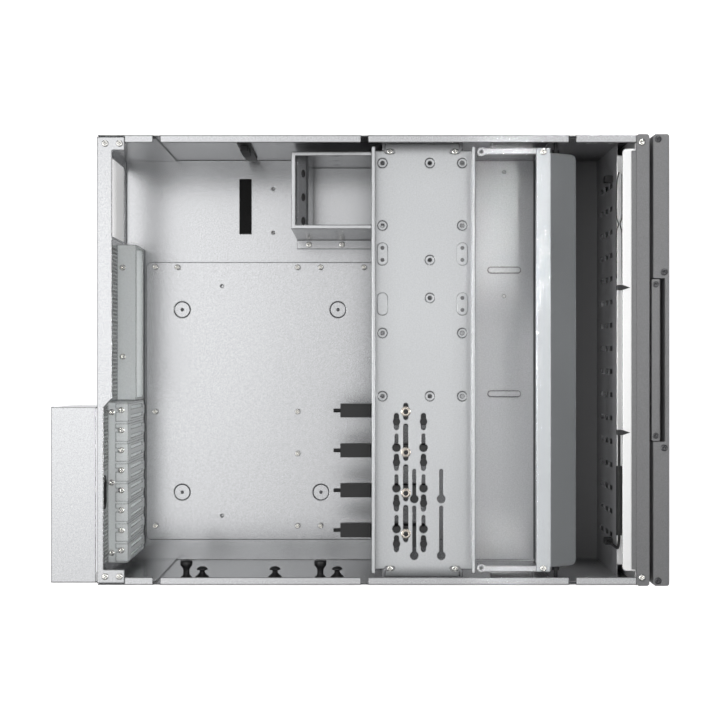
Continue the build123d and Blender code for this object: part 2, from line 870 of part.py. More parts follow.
# Drive cage: open box with inward rims on three sides, standing on its side walls
cage_middle = ((cage_left + cage_right) / 2, (cage_front + cage_back) / 2)
with BuildPart() as drive_cage:
    block((cage_left, cage_right), (cage_front, cage_back), (sheet, cage_top))
    block(
        (cage_left + thin_sheet, cage_right - thin_sheet),
        (cage_front, cage_back - thin_sheet),
        (cage_floor, cage_top - thin_sheet),
        Mode.SUBTRACT,
    )
    block(
        (cage_left + cage_rim, cage_right - cage_rim),
        (cage_front, cage_back - cage_rim),
        (cage_top - thin_sheet, cage_top),
        Mode.SUBTRACT,
    )
    block(
        (cage_left + thin_sheet, cage_right - thin_sheet),
        (cage_front, cage_back),
        (sheet, cage_floor - thin_sheet),
        Mode.SUBTRACT,
    )
    block(
        (cage_left - cage_foot, cage_left),
        (cage_back - cage_foot_length, cage_back),
        (sheet, 2 * sheet),
    )
    drill(cage_screws, sheet, 2 * sheet)
    with BuildSketch(Plane.XZ.offset(-cage_back)):
        with Locations((cage_middle[0], cage_floor + cage_slot_rise)):
            with GridLocations(cage_slot_pitch, 1, 3, 1):
                SlotOverall(cage_slot_length, cage_slot_width, rotation=90)
    extrude(amount=thin_sheet, mode=Mode.SUBTRACT)
    with BuildSketch(Plane.YZ.offset(cage_left)):
        with Locations((cage_middle[1], (cage_floor + cage_top) / 2)):
            with GridLocations(*cage_hole_spacing, 2, 3):
                RegularPolygon(cage_hole, hole_corners)
    extrude(amount=cage_width, mode=Mode.SUBTRACT)
finish_node(drive_cage, "drive_cage")

# Ledges on the side walls that carry the bridge
ledge_run = (bridge_front + ledge_inset, bridge_back - ledge_inset)
for side, name in ((-1, "bridge_ledge_left"), (1, "bridge_ledge_right")):
    with BuildPart() as bridge_ledge:
        block(
            (side * inner_half, side * (inner_half - sheet)),
            ledge_run,
            (bridge_bottom - ledge_height, bridge_bottom),
        )
        block(
            (side * inner_half, side * (inner_half - ledge_width)),
            ledge_run,
            (bridge_bottom - sheet, bridge_bottom),
        )
        drill(bridge_screws, bridge_bottom - sheet, bridge_bottom)
    finish_node(bridge_ledge, name)

# Bridge tray: channel section with inward lips, pressed holes and holder slots
slot_half_width = stud_radius + slide_gap
travel_slot = 2 * (holder_travel + slot_half_width)
bridge_rim = sunk_top - bridge_bottom
pressing_back = bridge_back - pressing_inset
pressing_middle = bridge_middle - pressing_shift
pressing_front = bridge_front + pressing_inset
pressing_ends = (pressing_back, pressing_front)
pressings = [(bridge_half - d, y) for d in full_rows for y in (*pressing_ends, pressing_middle)]
pressings += [(bridge_half - d, y) for d in outer_rows for y in pressing_ends]
pressings += [(bridge_half - d, pressing_middle) for d in middle_rows]
oblongs = [(bridge_half - d, y) for d in oblong_rows for y in pressing_ends]
short_slots = [(holder_places[0], nut_y)] + [(x - stud_shift, y) for x in holder_places for y in guide_y]
long_slots = [(x + lock_run / 2, nut_y) for x in holder_places[1:]]
key_rows = [(x - guide_key[0], y, guide_key[1]) for x in holder_places[:-1] for y in guide_y]
for place, (shift, run) in zip(holder_places[-2:], (third_key, last_key)):
    key_rows += [(place - shift, bridge_back - station, run) for station in key_stations]
with BuildPart() as bridge_tray:
    with BuildSketch(Plane.YZ.offset(-bridge_half)):
        with Locations((bridge_middle, (bridge_bottom + sunk_top) / 2)):
            Rectangle(bridge_depth, bridge_rim)
            Rectangle(bridge_depth - 2 * sheet, bridge_rim - 2 * sheet, mode=Mode.SUBTRACT)
        with Locations((bridge_middle, sunk_top - sheet / 2)):
            Rectangle(bridge_depth - 2 * bridge_lip, sheet, mode=Mode.SUBTRACT)
    extrude(amount=2 * bridge_half)
    block(
        (-bridge_tab_half, bridge_tab_half),
        (bridge_front + bridge_tab_inset, bridge_back - bridge_tab_inset),
        (bridge_bottom, bridge_top),
    )
    drill(pressings, bridge_top - pressing_depth, bridge_top, pressing_radius, head_corners)
    drill(pressings, bridge_bottom, bridge_top, pressing_hole)
    cut_slots(bridge_screws, bridge_slot_length, 2 * screw_hole + bridge_slot_gap, bridge_bottom, bridge_top)
    cut_slots(oblongs, oblong_length, oblong_width, bridge_bottom, bridge_top, 0)
    cut_slots(short_slots, travel_slot, 2 * slot_half_width, bridge_bottom, bridge_top, 0)
    cut_slots(long_slots, travel_slot + lock_run, 2 * slot_half_width, bridge_bottom, bridge_top, 0)
    for head, y, run in key_rows:
        cut_slots([(head + run / 2, y)], run + key_width, key_width, bridge_bottom, bridge_top, 0)
    key_heads = [(head, y) for head, y, run in key_rows]
    drill(key_heads, bridge_bottom, bridge_top, stud_head + slide_gap, head_corners)
finish_node(bridge_tray, "bridge_tray")

# Card holders: moulded arms that slide under the bridge on headed studs, and their nuts
pad_top = bridge_bottom - slide_gap
head_seat = bridge_top + slide_gap
finger_bottom = bridge_top - holder_drop
finger_top = finger_bottom + holder_finger_height
tip_y = bridge_back + holder_reach
root_y = bridge_back - holder_root
end_y = bridge_back - holder_end
for index, x in enumerate(holder_places):
    stud_x = x - stud_shift
    with BuildPart() as card_holder:
        with BuildSketch(Plane.YZ.offset(x - holder_width / 2)):
            with BuildLine():
                Polyline(
                    (end_y, finger_bottom),
                    (tip_y - holder_nose, finger_bottom),
                    (tip_y, finger_bottom + holder_nose),
                    (tip_y, finger_top),
                    (root_y + holder_web, finger_top),
                    (root_y, finger_top + holder_web),
                    (root_y, pad_top),
                    (end_y, pad_top),
                    close=True,
                )
            make_face()
        extrude(amount=holder_width)
        for side in sides:
            block(
                (x + side * holder_width / 2, x + side * (holder_width / 2 - holder_rib)),
                (end_y + holder_rib_end, root_y - holder_rib_end),
                (finger_top, pad_top - holder_flange),
                Mode.SUBTRACT,
            )
        with BuildSketch(Plane.XZ.offset(-tip_y)):
            with Locations((x, (finger_bottom + holder_nose + finger_top) / 2)):
                RegularPolygon(stud_radius, head_corners)
        extrude(amount=-holder_pin)
        block((stud_x - stud_head, x), (end_y, root_y), (pad_top - holder_flange, pad_top))
        studs = [(stud_x, y) for y in guide_y]
        prisms(studs, stud_radius, pad_top, head_seat)
        prisms(studs, stud_head, head_seat, head_seat + stud_head_rise)
        prisms([(x, nut_y)], stud_radius, pad_top, head_seat + nut_height + stud_proud)
    finish_node(card_holder, f"card_holder_{index + 1}")
    with BuildPart() as holder_nut:
        prisms([(x, nut_y)], washer_radius, head_seat, head_seat + washer_height)
        prisms([(x, nut_y)], nut_radius, head_seat + washer_height, head_seat + nut_height, 6)
        drill([(x, nut_y)], head_seat, head_seat + nut_height, stud_radius, head_corners)
    finish_node(holder_nut, f"holder_nut_{index + 1}")

# Fan bracket: a flat bar with a sloped apron folded from the same sheet
slope_skin = sheet * (1 + (apron_drop / apron_run) ** 2) ** 0.5
bar_half = arm_outer + sheet
skirt_half = arm_outer - arm_width - skirt_gap
corner_run = 2 * (bar_back - apron_front)
with BuildPart() as fan_bracket:
    with BuildSketch(Plane.YZ.offset(-apron_half)):
        with BuildLine():
            Polyline(
                (bar_back, sunk_top - sheet),
                (bar_back, sunk_top),
                (bar_front, sunk_top),
                (apron_front, sunk_top - apron_drop),
                (apron_front, sunk_top - apron_drop - slope_skin),
                (bar_front, sunk_top - slope_skin),
                (bar_front, sunk_top - sheet),
                close=True,
            )
        make_face()
    extrude(amount=2 * apron_half)
    with BuildSketch(Plane.XY.offset(sunk_top - 2 * apron_drop)):
        with Locations((0, apron_front + corner_run / 2)):
            RectangleRounded(2 * apron_half, corner_run, apron_corner)
    extrude(amount=3 * apron_drop, mode=Mode.INTERSECT)
    block((-bar_half, bar_half), (bar_front, bar_back), (sunk_top - sheet, sunk_top))
    block((-skirt_half, skirt_half), (bar_back - sheet, bar_back), (sunk_top - bar_skirt, sunk_top - sheet))
    drill(bar_screws, sunk_top - sheet, sunk_top)
finish_node(fan_bracket, "fan_bracket")

# Arms beside the walls that carry the fan bracket
arm_ledge_top = arm_top - arm_ledge_drop
for side, name in ((-1, "bracket_arm_left"), (1, "bracket_arm_right")):
    with BuildPart() as bracket_arm:
        block(
            (side * arm_outer, side * (arm_outer + sheet)),
            (bar_front, arm_end),
            (arm_top - arm_height, arm_top),
        )
        block(
            (side * (arm_outer - arm_width), side * arm_outer),
            (bar_front, arm_end),
            (arm_top - sheet, arm_top),
        )
        with Locations((side * arm_middle, arm_end, 0)):
            upright(arm_lobe, arm_top - sheet, arm_top)
        block(
            (side * (arm_outer + sheet), side * inner_half),
            (bar_back, arm_end - arm_ledge_end),
            (arm_ledge_top - sheet, arm_ledge_top),
        )
        drill(bar_screws + [(side * arm_middle, arm_end)], arm_top - sheet, arm_top)
    finish_node(bracket_arm, name)

# Black front tray: floor, front wall with intake slots, and two sides
intake_room = (2 * (nested_half - intake_margin), front_tray_height - sheet - 2 * intake_margin)
intake_count = [int(room / pitch) for room, pitch in zip(intake_room, intake_pitch)]
with BuildPart() as front_tray:
    with BuildSketch(Plane.XZ.offset(-front_tray_back)):
        with Locations((0, (sheet + front_tray_side) / 2)):
            Rectangle(2 * nested_half, front_tray_side - sheet)
        with Locations((0, (sheet + thin_sheet + front_tray_side) / 2)):
            Rectangle(
                2 * (nested_half - thin_sheet), front_tray_side - sheet - thin_sheet, mode=Mode.SUBTRACT
            )
    extrude(amount=front_tray_length)
    block(
        (-nested_half, nested_half),
        (front_tray_wall - thin_sheet, front_tray_wall),
        (sheet, front_tray_height),
    )
    with BuildSketch(Plane.XZ.offset(-front_tray_wall)):
        with Locations((0, (sheet + front_tray_height) / 2)):
            with GridLocations(*intake_pitch, *intake_count):
                Rectangle(intake_width, intake_height)
    extrude(amount=thin_sheet, mode=Mode.SUBTRACT)
    with BuildSketch(Plane.YZ.offset(-nested_half)):
        with Locations(*ear_places):
            RegularPolygon(ear_hole + pocket_gap, hole_corners)
    extrude(amount=2 * nested_half, mode=Mode.SUBTRACT)
finish_node(front_tray, "front_tray")

# Pins on the tray's sides that steady the apron
with BuildPart() as apron_pins:
    for side in sides:
        seat = side * (nested_half - thin_sheet)
        with BuildSketch(Plane.YZ.offset(seat)):
            with Locations((bar_front - pin_station, case_height - pin_drop)):
                RegularPolygon(pin_radius, head_corners)
        extrude(amount=-side * pin_length)
        with BuildSketch(Plane.YZ.offset(seat - side * (pin_length - pin_cap_length))):
            with Locations((bar_front - pin_station, case_height - pin_drop)):
                RegularPolygon(pin_cap, head_corners)
        extrude(amount=-side * pin_cap_length)
finish_node(apron_pins, "apron_pins")

# Front wall of the case with its top flange
front_window_half = inner_half - front_window_gap
front_window_top = front_tray_height - front_window_drop
with BuildPart() as front_wall:
    block((-nested_half, nested_half), (frame_back, frame_back + sheet), (sheet, flange_top))
    with BuildSketch(Plane.XY.offset(flange_top - sheet)):
        with Locations((0, frame_back + flange_run / 2)):
            RectangleRounded(2 * flange_half, flange_run, flange_corner)
        with Locations((0, frame_back + flange_square / 2)):
            Rectangle(2 * flange_half, flange_square)
    extrude(amount=sheet)
    block(
        (-front_window_half, front_window_half),
        (frame_back, frame_back + sheet),
        (front_window_bottom, front_window_top),
        Mode.SUBTRACT,
    )
finish_node(front_wall, "front_wall")

# Ledge that joins the front wall to the tray's front wall
with BuildPart() as front_ledge:
    block(
        (-flange_half, flange_half),
        (frame_back + sheet, front_tray_wall),
        (front_tray_height, front_tray_height + sheet),
    )
    block(
        (-flange_half, flange_half),
        (frame_back + sheet, frame_back + 2 * sheet),
        (front_window_top, front_tray_height),
    )
finish_node(front_ledge, "front_ledge")

# Front frame: a moulded ring with a lip over the front flange
frame_lip_half = flange_half - frame_lip_inset
with BuildPart() as front_frame:
    with BuildSketch(Plane.XZ.offset(-frame_back)):
        with Locations((0, case_height / 2)):
            Rectangle(2 * front_half, case_height)
            Rectangle(2 * (front_half - frame_bar), case_height - 2 * frame_bar, mode=Mode.SUBTRACT)
    extrude(amount=frame_depth)
    upright_edges = front_frame.edges().filter_by(Axis.Z)
    outer_edges = [edge for edge in upright_edges if abs(edge.center().X) > front_half - frame_bar / 2]
    fillet(outer_edges, edge_round)
    block(
        (-frame_lip_half, frame_lip_half),
        (frame_back, frame_back + frame_lip),
        (flange_top, flange_top + frame_lip_rise),
    )
    pocket(frame_screws, case_height, screw_head + pocket_gap)
finish_node(front_frame, "front_frame")

# Door: a ring with a rebated window, a finger pull along its top and hinge notches
window_bottom = door_low_bar
window_top = case_height - door_top_bar
window_middle = (window_bottom + window_top) / 2
window_size = (2 * (front_half - door_side_bar), window_top - window_bottom)
rebate_size = (window_size[0] + 2 * door_rebate, window_size[1] + 2 * door_rebate)
with BuildPart() as door:
    with BuildSketch(Plane.XZ.offset(-door_back)):
        with Locations((0, (door_bottom + case_height) / 2)):
            Rectangle(2 * front_half, case_height - door_bottom)
    extrude(amount=door_thickness)
    fillet(door.edges().filter_by(Axis.Z), edge_round)
    with BuildSketch(Plane.XZ.offset(-door_back)):
        with Locations((0, window_middle)):
            Rectangle(*window_size)
    extrude(amount=door_thickness, mode=Mode.SUBTRACT)
    with BuildSketch(Plane.XZ.offset(-door_back)):
        with Locations((0, window_middle)):
            Rectangle(*rebate_size)
    extrude(amount=door_thickness - door_skin, mode=Mode.SUBTRACT)
    block(
        (-handle_half, handle_half),
        (door_front + handle_skin, door_back),
        (case_height - handle_depth, case_height),
        Mode.SUBTRACT,
    )
    for level in hinge_levels.values():
        block(
            (-front_half, -front_half + hinge_notch_width),
            (door_front + hinge_notch_skin, door_back),
            (level - hinge_notch_height / 2, level + hinge_notch_height / 2),
            Mode.SUBTRACT,
        )
        with Locations((hinge_x, hinge_y, 0)):
            upright(hinge_pin_radius, level - hinge_pin_half, level + hinge_pin_half, Mode.SUBTRACT)
    pocket(door_screws, case_height, screw_head + pocket_gap)
finish_node(door, "door")

# Perforated sheet in the door's window
mesh_count = [int(length / mesh_pitch) for length in window_size]
with BuildPart() as door_mesh:
    with BuildSketch(Plane.XZ.offset(-door_front - door_skin - mesh_thickness)):
        with Locations((0, window_middle)):
            Rectangle(rebate_size[0] - nest_gap, rebate_size[1] - nest_gap)
            with GridLocations(mesh_pitch, mesh_pitch, *mesh_count):
                RegularPolygon(mesh_hole, 6, mode=Mode.SUBTRACT)
    extrude(amount=mesh_thickness)
finish_node(door_mesh, "door_mesh")

# Bar behind the door's finger pull
with BuildPart() as door_handle:
    block(
        (-handle_bar_half, handle_bar_half),
        (handle_bar_front, handle_bar_back),
        (case_height - handle_depth, case_height),
    )
    fillet(door_handle.edges().filter_by(Axis.Z), handle_bar_round)
    pocket(handle_screws, case_height, screw_head)
finish_node(door_handle, "door_handle")

# Screws of the door
with BuildPart() as door_screw_set:
    screws(door_screws + handle_screws, sunk_top)
finish_node(door_screw_set, "door_screws")

# Hinges: an arm on the frame and a pin in the door at two heights
for name, level in hinge_levels.items():
    with BuildPart() as hinge_arm:
        with BuildSketch(Plane.XY.offset(level - hinge_arm_height / 2)):
            with Locations((hinge_x, hinge_y)):
                Circle(hinge_arm_half)
            with Locations((hinge_x, (hinge_y + frame_front) / 2)):
                Rectangle(2 * hinge_arm_half, frame_front - hinge_y)
            with Locations((hinge_x, hinge_y)):
                Circle(hinge_pin_radius + pin_gap, mode=Mode.SUBTRACT)
        extrude(amount=hinge_arm_height)
        block(
            (hinge_x - hinge_arm_half, hinge_x - hinge_arm_half + hinge_foot),
            (frame_front - hinge_foot_depth, frame_front),
            (level - hinge_foot_height / 2, level + hinge_foot_height / 2),
        )
    finish_node(hinge_arm, f"hinge_arm_{name}")
    with BuildPart() as hinge_pin:
        with Locations((hinge_x, hinge_y, 0)):
            upright(hinge_pin_radius, level - hinge_pin_half, level + hinge_pin_half)
    finish_node(hinge_pin, f"hinge_pin_{name}")

# Panel cables: clipped at the front flange, run along it and drop into boots on the tray's wall
cable_y = flange_back + cable_behind
cable_level = flange_top - cable_below
cable_turn = flange_half - cable_turn_gap
boot_top = front_tray_height - boot_drop
for side, name in ((1, "right"), (-1, "left")):
    clip_x = side * cable_clip_half
    clip_side = (clip_x - cable_clip_width / 2, clip_x + cable_clip_width / 2)
    with BuildPart() as cable_clip:
        block(
            clip_side,
            (flange_back, cable_y + cable_behind),
            (cable_level - cable_behind, flange_top + cable_clip_cap),
        )
        with BuildSketch(Plane.XY.offset(flange_top)):
            with BuildLine():
                Polyline(
                    (clip_side[0], flange_back),
                    (clip_side[1], flange_back),
                    (clip_x, flange_back - cable_clip_point),
                    close=True,
                )
            make_face()
        extrude(amount=cable_clip_cap)
    finish_node(cable_clip, f"cable_clip_{name}")
    start = (side * (cable_clip_half + cable_clip_width / 2), cable_y, cable_level)
    with BuildPart() as panel_cable:
        with BuildLine():
            FilletPolyline(
                start,
                (side * cable_turn, cable_y, cable_level),
                (side * cable_turn, cable_y, boot_top),
                radius=cable_bend,
            )
        with BuildSketch(Plane(start, z_dir=(side, 0, 0))):
            RegularPolygon(cable_radius, hole_corners)
        sweep()
    finish_node(panel_cable, f"panel_cable_{name}")

# Boots on the tray's front wall that take the cables in
with BuildPart() as cable_boots:
    for side in sides:
        block(
            (side * cable_turn - boot_half, side * cable_turn + boot_half),
            (front_tray_wall, cable_y + boot_half),
            (boot_top - boot_height, boot_top),
        )
    fillet(cable_boots.edges().filter_by(Axis.Z), boot_round)
finish_node(cable_boots, "cable_boots")

# Sleeve over the left cable
sleeve_start = cable_clip_half + sleeve_from_clip
sleeve_end = cable_turn - sleeve_from_turn
with BuildPart() as cable_sleeve:
    with BuildSketch(Plane.YZ.offset(-sleeve_start)):
        with Locations((cable_y, cable_level)):
            RegularPolygon(sleeve_radius, head_corners)
            RegularPolygon(cable_radius, hole_corners, mode=Mode.SUBTRACT)
    extrude(amount=sleeve_start - sleeve_end)
finish_node(cable_sleeve, "cable_sleeve")

# Screws of the fixed sheets, each on its own seat
seats = [(lug_screws + bar_screws + frame_screws, sunk_top), (bridge_screws, bridge_top)]
seats += [(shelf_screws, slot_shelf), (roof_screws, io_roof)]
with BuildPart() as case_screws:
    for places, seat in seats:
        screws(places, seat)
    screws(cage_screws, 2 * sheet, 2 * sheet)
finish_node(case_screws, "case_screws")
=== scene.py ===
import math

import bpy
import numpy as np
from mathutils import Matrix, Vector


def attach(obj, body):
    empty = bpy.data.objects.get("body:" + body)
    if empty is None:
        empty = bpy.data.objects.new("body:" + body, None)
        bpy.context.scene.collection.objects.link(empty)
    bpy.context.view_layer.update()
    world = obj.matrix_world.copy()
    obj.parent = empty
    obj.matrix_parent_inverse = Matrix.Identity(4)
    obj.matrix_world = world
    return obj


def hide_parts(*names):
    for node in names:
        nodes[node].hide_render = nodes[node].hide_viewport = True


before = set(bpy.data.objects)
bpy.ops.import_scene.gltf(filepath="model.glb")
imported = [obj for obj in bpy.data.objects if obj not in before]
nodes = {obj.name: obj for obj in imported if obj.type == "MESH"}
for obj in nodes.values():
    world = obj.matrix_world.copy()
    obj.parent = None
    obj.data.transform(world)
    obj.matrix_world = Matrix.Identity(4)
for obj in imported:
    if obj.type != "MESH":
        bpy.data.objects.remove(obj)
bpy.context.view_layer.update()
MM = 0.001
TURN = 2 * math.pi


# Surfaces

def mesh_piece(name, points, faces, smooth=True):
    """Make a mesh object from an array of points in millimetres and an array of quads."""
    mesh = bpy.data.meshes.new(name)
    metres = np.asarray(points, float).reshape(-1, 3) * MM
    mesh.from_pydata(metres.tolist(), [], np.asarray(faces).tolist())
    mesh.polygons.foreach_set("use_smooth", np.full(len(mesh.polygons), smooth))
    mesh.update()
    piece = bpy.data.objects.new(name, mesh)
    bpy.context.scene.collection.objects.link(piece)
    return piece


def grid_faces(rows, columns):
    """Quads of a grid of rows by columns, whose last column joins the first."""
    i, j = np.meshgrid(np.arange(rows - 1), np.arange(columns), indexing="ij")
    k = (j + 1) % columns
    row, following = i * columns, (i + 1) * columns
    quads = np.stack([row + j, row + k, following + k, following + j], axis=-1)
    return quads.reshape(-1, 4)


def copies(points, faces, places):
    """Repeat one surface at many places: every point plus every offset, with its own run of indices."""
    points = np.asarray(points, float).reshape(-1, 3)
    places = np.asarray(places, float).reshape(-1, 1, 3)
    every = points[None] + places
    shift = np.arange(len(places))[:, None, None] * len(points)
    return every.reshape(-1, 3), (faces[None] + shift).reshape(-1, 4)


def joined(*surfaces):
    """Several surfaces as one: their points in a row, each one's faces raised by the points before it."""
    points = [surface[0].reshape(-1, 3) for surface in surfaces]
    starts = np.cumsum([0] + [len(group) for group in points])
    faces = [surface[1] + start for surface, start in zip(surfaces, starts)]
    return np.concatenate(points), np.concatenate(faces)


def turned(profile, sides=28):
    """Surface of revolution about Z: radius r and height z at angle a give (r cos a, r sin a, z)."""
    r, z = np.asarray(profile, float).T
    a = np.arange(sides) * TURN / sides
    level = np.repeat(z[:, None], sides, 1)
    points = np.stack([np.outer(r, np.cos(a)), np.outer(r, np.sin(a)), level], axis=-1)
    return points, grid_faces(len(r), sides)


def stretched(profile, run, sides=30):
    """Surface with two round ends: a turned one whose halves are drawn apart along X by a run."""
    points, faces = turned(profile, sides)
    ahead = np.cos(np.arange(sides) * TURN / sides) > 0
    points[..., 0] += np.where(ahead, run / 2, -run / 2)
    return points, faces


def cross_head(radius, rise, sides=40, rings=15):
    """Pan head with a cross recess, on a polar grid.

    The crown's height falls off with the fourth power of the radius. The distance to the cross is the
    smaller of those to its two arms, counted in half widths and half lengths. The recess has its full depth
    where that is under 0.85 and none past 1.25, and it gets shallower outward. The last rings go straight
    down to the seat and close it.
    """
    share = np.concatenate([np.linspace(0.0, 0.96, rings), [1.0, 1.0, 0.0]])
    a = np.arange(sides) * TURN / sides
    x = np.outer(share, np.cos(a))
    y = np.outer(share, np.sin(a))
    crown = rise * (1 - 0.3 * share ** 4)
    crown[-3:] = 0.6 * rise, 0.0, 0.0
    half_width = 0.13
    half_length = 0.55
    along = np.maximum(np.abs(x) / half_width, np.abs(y) / half_length)
    across = np.maximum(np.abs(y) / half_width, np.abs(x) / half_length)
    arm = np.minimum(along, across)
    sink = np.clip((1.25 - arm) / 0.4, 0, 1) * np.clip(1.15 - np.hypot(x, y) / 0.75, 0, 1)
    sink[-1] = 0.0
    z = crown[:, None] - 0.75 * rise * sink
    return np.stack([radius * x, radius * y, z], axis=-1), grid_faces(len(share), sides)


def hex_nut(radius, height, bore, sides=48):
    """Hexagon nut: rings whose radius is the hexagon's, with the top corners cut back by a cone.

    At angle a the hexagon's radius is the flat's distance over the cosine of the angle to the nearest
    flat's middle. The last ring comes back to the first and closes the under side.
    """
    a = np.arange(sides) * TURN / sides
    flat = radius * math.cos(math.pi / 6)
    edge = flat / np.cos(a % (math.pi / 3) - math.pi / 6)
    one = np.ones(sides)
    crown = 0.97 * flat
    reach = np.stack([edge, edge, crown * one, (bore + 0.3) * one, bore * one, bore * one, edge])
    shoulder = height - 0.45 * (edge - crown)
    level = np.stack([0 * one, shoulder, height * one, height * one, (height - 0.3) * one, 0 * one, 0 * one])
    return np.stack([reach * np.cos(a), reach * np.sin(a), level], axis=-1), grid_faces(len(reach), sides)


def tube(route, level, radius, sides=10, steps=12):
    """Round wire along a level route: a Catmull-Rom curve through the points, with a circle at each step.

    Each stretch between two points is the usual cubic in the four points round it. The circle lies in the
    plane of the side vector, square to the run and level, and its cross product with the run. The ends
    close on the axis.
    """
    route = np.column_stack([np.asarray(route, float), np.full(len(route), level)])
    held = np.concatenate([[2 * route[0] - route[1]], route, [2 * route[-1] - route[-2]]])
    t = np.linspace(0, 1, steps, endpoint=False)[None, :, None]
    a, b, c, d = (held[k:len(held) - 3 + k, None] for k in range(4))
    square, cube = 2 * a - 5 * b + 4 * c - d, 3 * b - a - 3 * c + d
    curve = 0.5 * (2 * b + (c - a) * t + square * t ** 2 + cube * t ** 3)
    line = np.concatenate([curve.reshape(-1, 3), route[-1:]])
    run = np.gradient(line, axis=0)
    run /= np.linalg.norm(run, axis=1)[:, None]
    side = np.cross(run, (0.0, 0.0, 1.0))
    side /= np.linalg.norm(side, axis=1)[:, None]
    other = np.cross(side, run)
    line = np.concatenate([line[:1], line, line[-1:]])
    side, other = (np.concatenate([v[:1], v, v[-1:]]) for v in (side, other))
    reach = np.full(len(line), radius)
    reach[[0, -1]] = 0.0
    turn = np.arange(sides) * TURN / sides
    ring = side[:, None] * np.cos(turn)[None, :, None] - other[:, None] * np.sin(turn)[None, :, None]
    return line[:, None] + reach[:, None, None] * ring, grid_faces(len(line), sides)


def folded(profile, ends, sheet):
    """Folded strip: a profile of stations and levels, a sheet thick, drawn along X between two ends.

    The under side is the profile moved down by the sheet. Quads run round the closed outline, and a row of
    quads from the upper side to the under side closes each end.
    """
    upper = np.asarray(profile, float)
    under = upper[::-1] - (0.0, sheet)
    outline = np.concatenate([upper, under])
    count = len(outline)
    points = np.concatenate([np.column_stack([np.full(count, x), outline]) for x in ends])
    j = np.arange(count)
    k = (j + 1) % count
    i = np.arange(len(upper) - 1)
    caps = np.stack([i, i + 1, count - 2 - i, count - 1 - i], axis=-1)
    around = np.stack([j, j + count, k + count, k], axis=-1)
    return points, np.concatenate([around, caps, caps[:, ::-1] + count])


def mesh_plate(low, high, pitch, hole, depth):
    """Perforated sheet in the XZ plane, front to -Y: a lattice of cells, each with an eight-sided hole.

    A cell has eight points on its border and eight on the hole, on the front and on the back; quads join
    border to hole on both faces and front to back inside the hole.
    """
    width, height = high[0] - low[0], high[2] - low[2]
    columns, rows = round(width / pitch), round(height / pitch)
    step = np.array([width / columns, height / rows])
    turn = np.arange(8) * TURN / 8
    rim = np.stack([np.cos(turn), np.sin(turn)], axis=-1)
    border = np.sign(np.round(rim, 6)) * step / 2
    ring = np.concatenate([border, rim * hole])
    flat = np.concatenate([ring, ring])
    y = np.repeat([low[1], low[1] + depth], 16)
    cell = np.stack([flat[:, 0], y, flat[:, 1]], axis=-1)
    j = np.arange(8)
    k = (j + 1) % 8
    faces = np.concatenate([
        np.stack([j, k, k + 8, j + 8], axis=-1),
        np.stack([k + 16, j + 16, j + 24, k + 24], axis=-1),
        np.stack([j + 8, k + 8, k + 24, j + 24], axis=-1),
    ])
    u = low[0] + (np.arange(columns) + 0.5) * step[0]
    v = low[2] + (np.arange(rows) + 0.5) * step[1]
    u, v = (values.ravel() for values in np.meshgrid(u, v))
    return copies(cell, faces, np.stack([u, np.zeros(len(u)), v], axis=-1))


# Places read from the CAD nodes

def node_points(node):
    """All points of a CAD node, in millimetres."""
    mesh = nodes[node].data
    flat = np.zeros(len(mesh.vertices) * 3, np.float32)
    mesh.vertices.foreach_get("co", flat)
    return flat.reshape(-1, 3).astype(float) / MM


def span(node):
    """Lowest and highest corner of a node, in millimetres."""
    points = node_points(node)
    return points.min(0), points.max(0)


def solid_places(node, reach):
    """Middle in plan, lowest and highest level of each solid in a group node, in millimetres.

    Points are taken a cluster at a time: all that lie within the reach of the first point left.
    """
    left = node_points(node)
    found = []
    while len(left):
        near = np.hypot(*(left[:, :2] - left[0, :2]).T) < reach
        low, high = left[near].min(0), left[near].max(0)
        found.append([(low[0] + high[0]) / 2, (low[1] + high[1]) / 2, low[2], high[2]])
        left = left[~near]
    return np.array(found)


# Shader node groups

def new_group(name, inputs, outputs):
    """Start a shader node group with named value sockets."""
    group = bpy.data.node_groups.new(name, "ShaderNodeTree")
    for label, value in inputs:
        socket = group.interface.new_socket(name=label, in_out="INPUT", socket_type="NodeSocketFloat")
        socket.default_value = value
    for label in outputs:
        group.interface.new_socket(name=label, in_out="OUTPUT", socket_type="NodeSocketFloat")
    return group, group.nodes.new("NodeGroupInput"), group.nodes.new("NodeGroupOutput")


def math_node(tree, operation, a, b=None):
    """Add a math node whose inputs are sockets or numbers, and return its output."""
    node = tree.nodes.new("ShaderNodeMath")
    node.operation = operation
    for socket, value in zip(node.inputs, (a, b)):
        if isinstance(value, (int, float)):
            socket.default_value = value
        elif value is not None:
            tree.links.new(value, socket)
    return node.outputs[0]


def smooth_step(tree, value, low, high):
    """A smooth step of a value from 0 at the low mark to 1 at the high one."""
    step = tree.nodes.new("ShaderNodeMapRange")
    step.interpolation_type = "SMOOTHSTEP"
    step.inputs["From Min"].default_value = low
    step.inputs["From Max"].default_value = high
    tree.links.new(value, step.inputs["Value"])
    return step.outputs["Result"]


def noise_node(tree, vector, scale, detail, rough=0.5):
    """Add a noise texture read at a vector, and return its value."""
    node = tree.nodes.new("ShaderNodeTexNoise")
    node.inputs["Detail"].default_value = detail
    node.inputs["Roughness"].default_value = rough
    tree.links.new(vector, node.inputs["Vector"])
    if isinstance(scale, (int, float)):
        node.inputs["Scale"].default_value = scale
    else:
        tree.links.new(scale, node.inputs["Scale"])
    return node.outputs[0]


def axes(tree, source="Object"):
    """The three parts of a texture coordinate."""
    split = tree.nodes.new("ShaderNodeSeparateXYZ")
    tree.links.new(tree.nodes.new("ShaderNodeTexCoord").outputs[source], split.inputs[0])
    return (split.outputs[axis] for axis in "XYZ")


def about_mean(tree, noise, amount):
    """A noise less its mean, times an amount."""
    return math_node(tree, "MULTIPLY", math_node(tree, "SUBTRACT", noise, 0.5), amount)


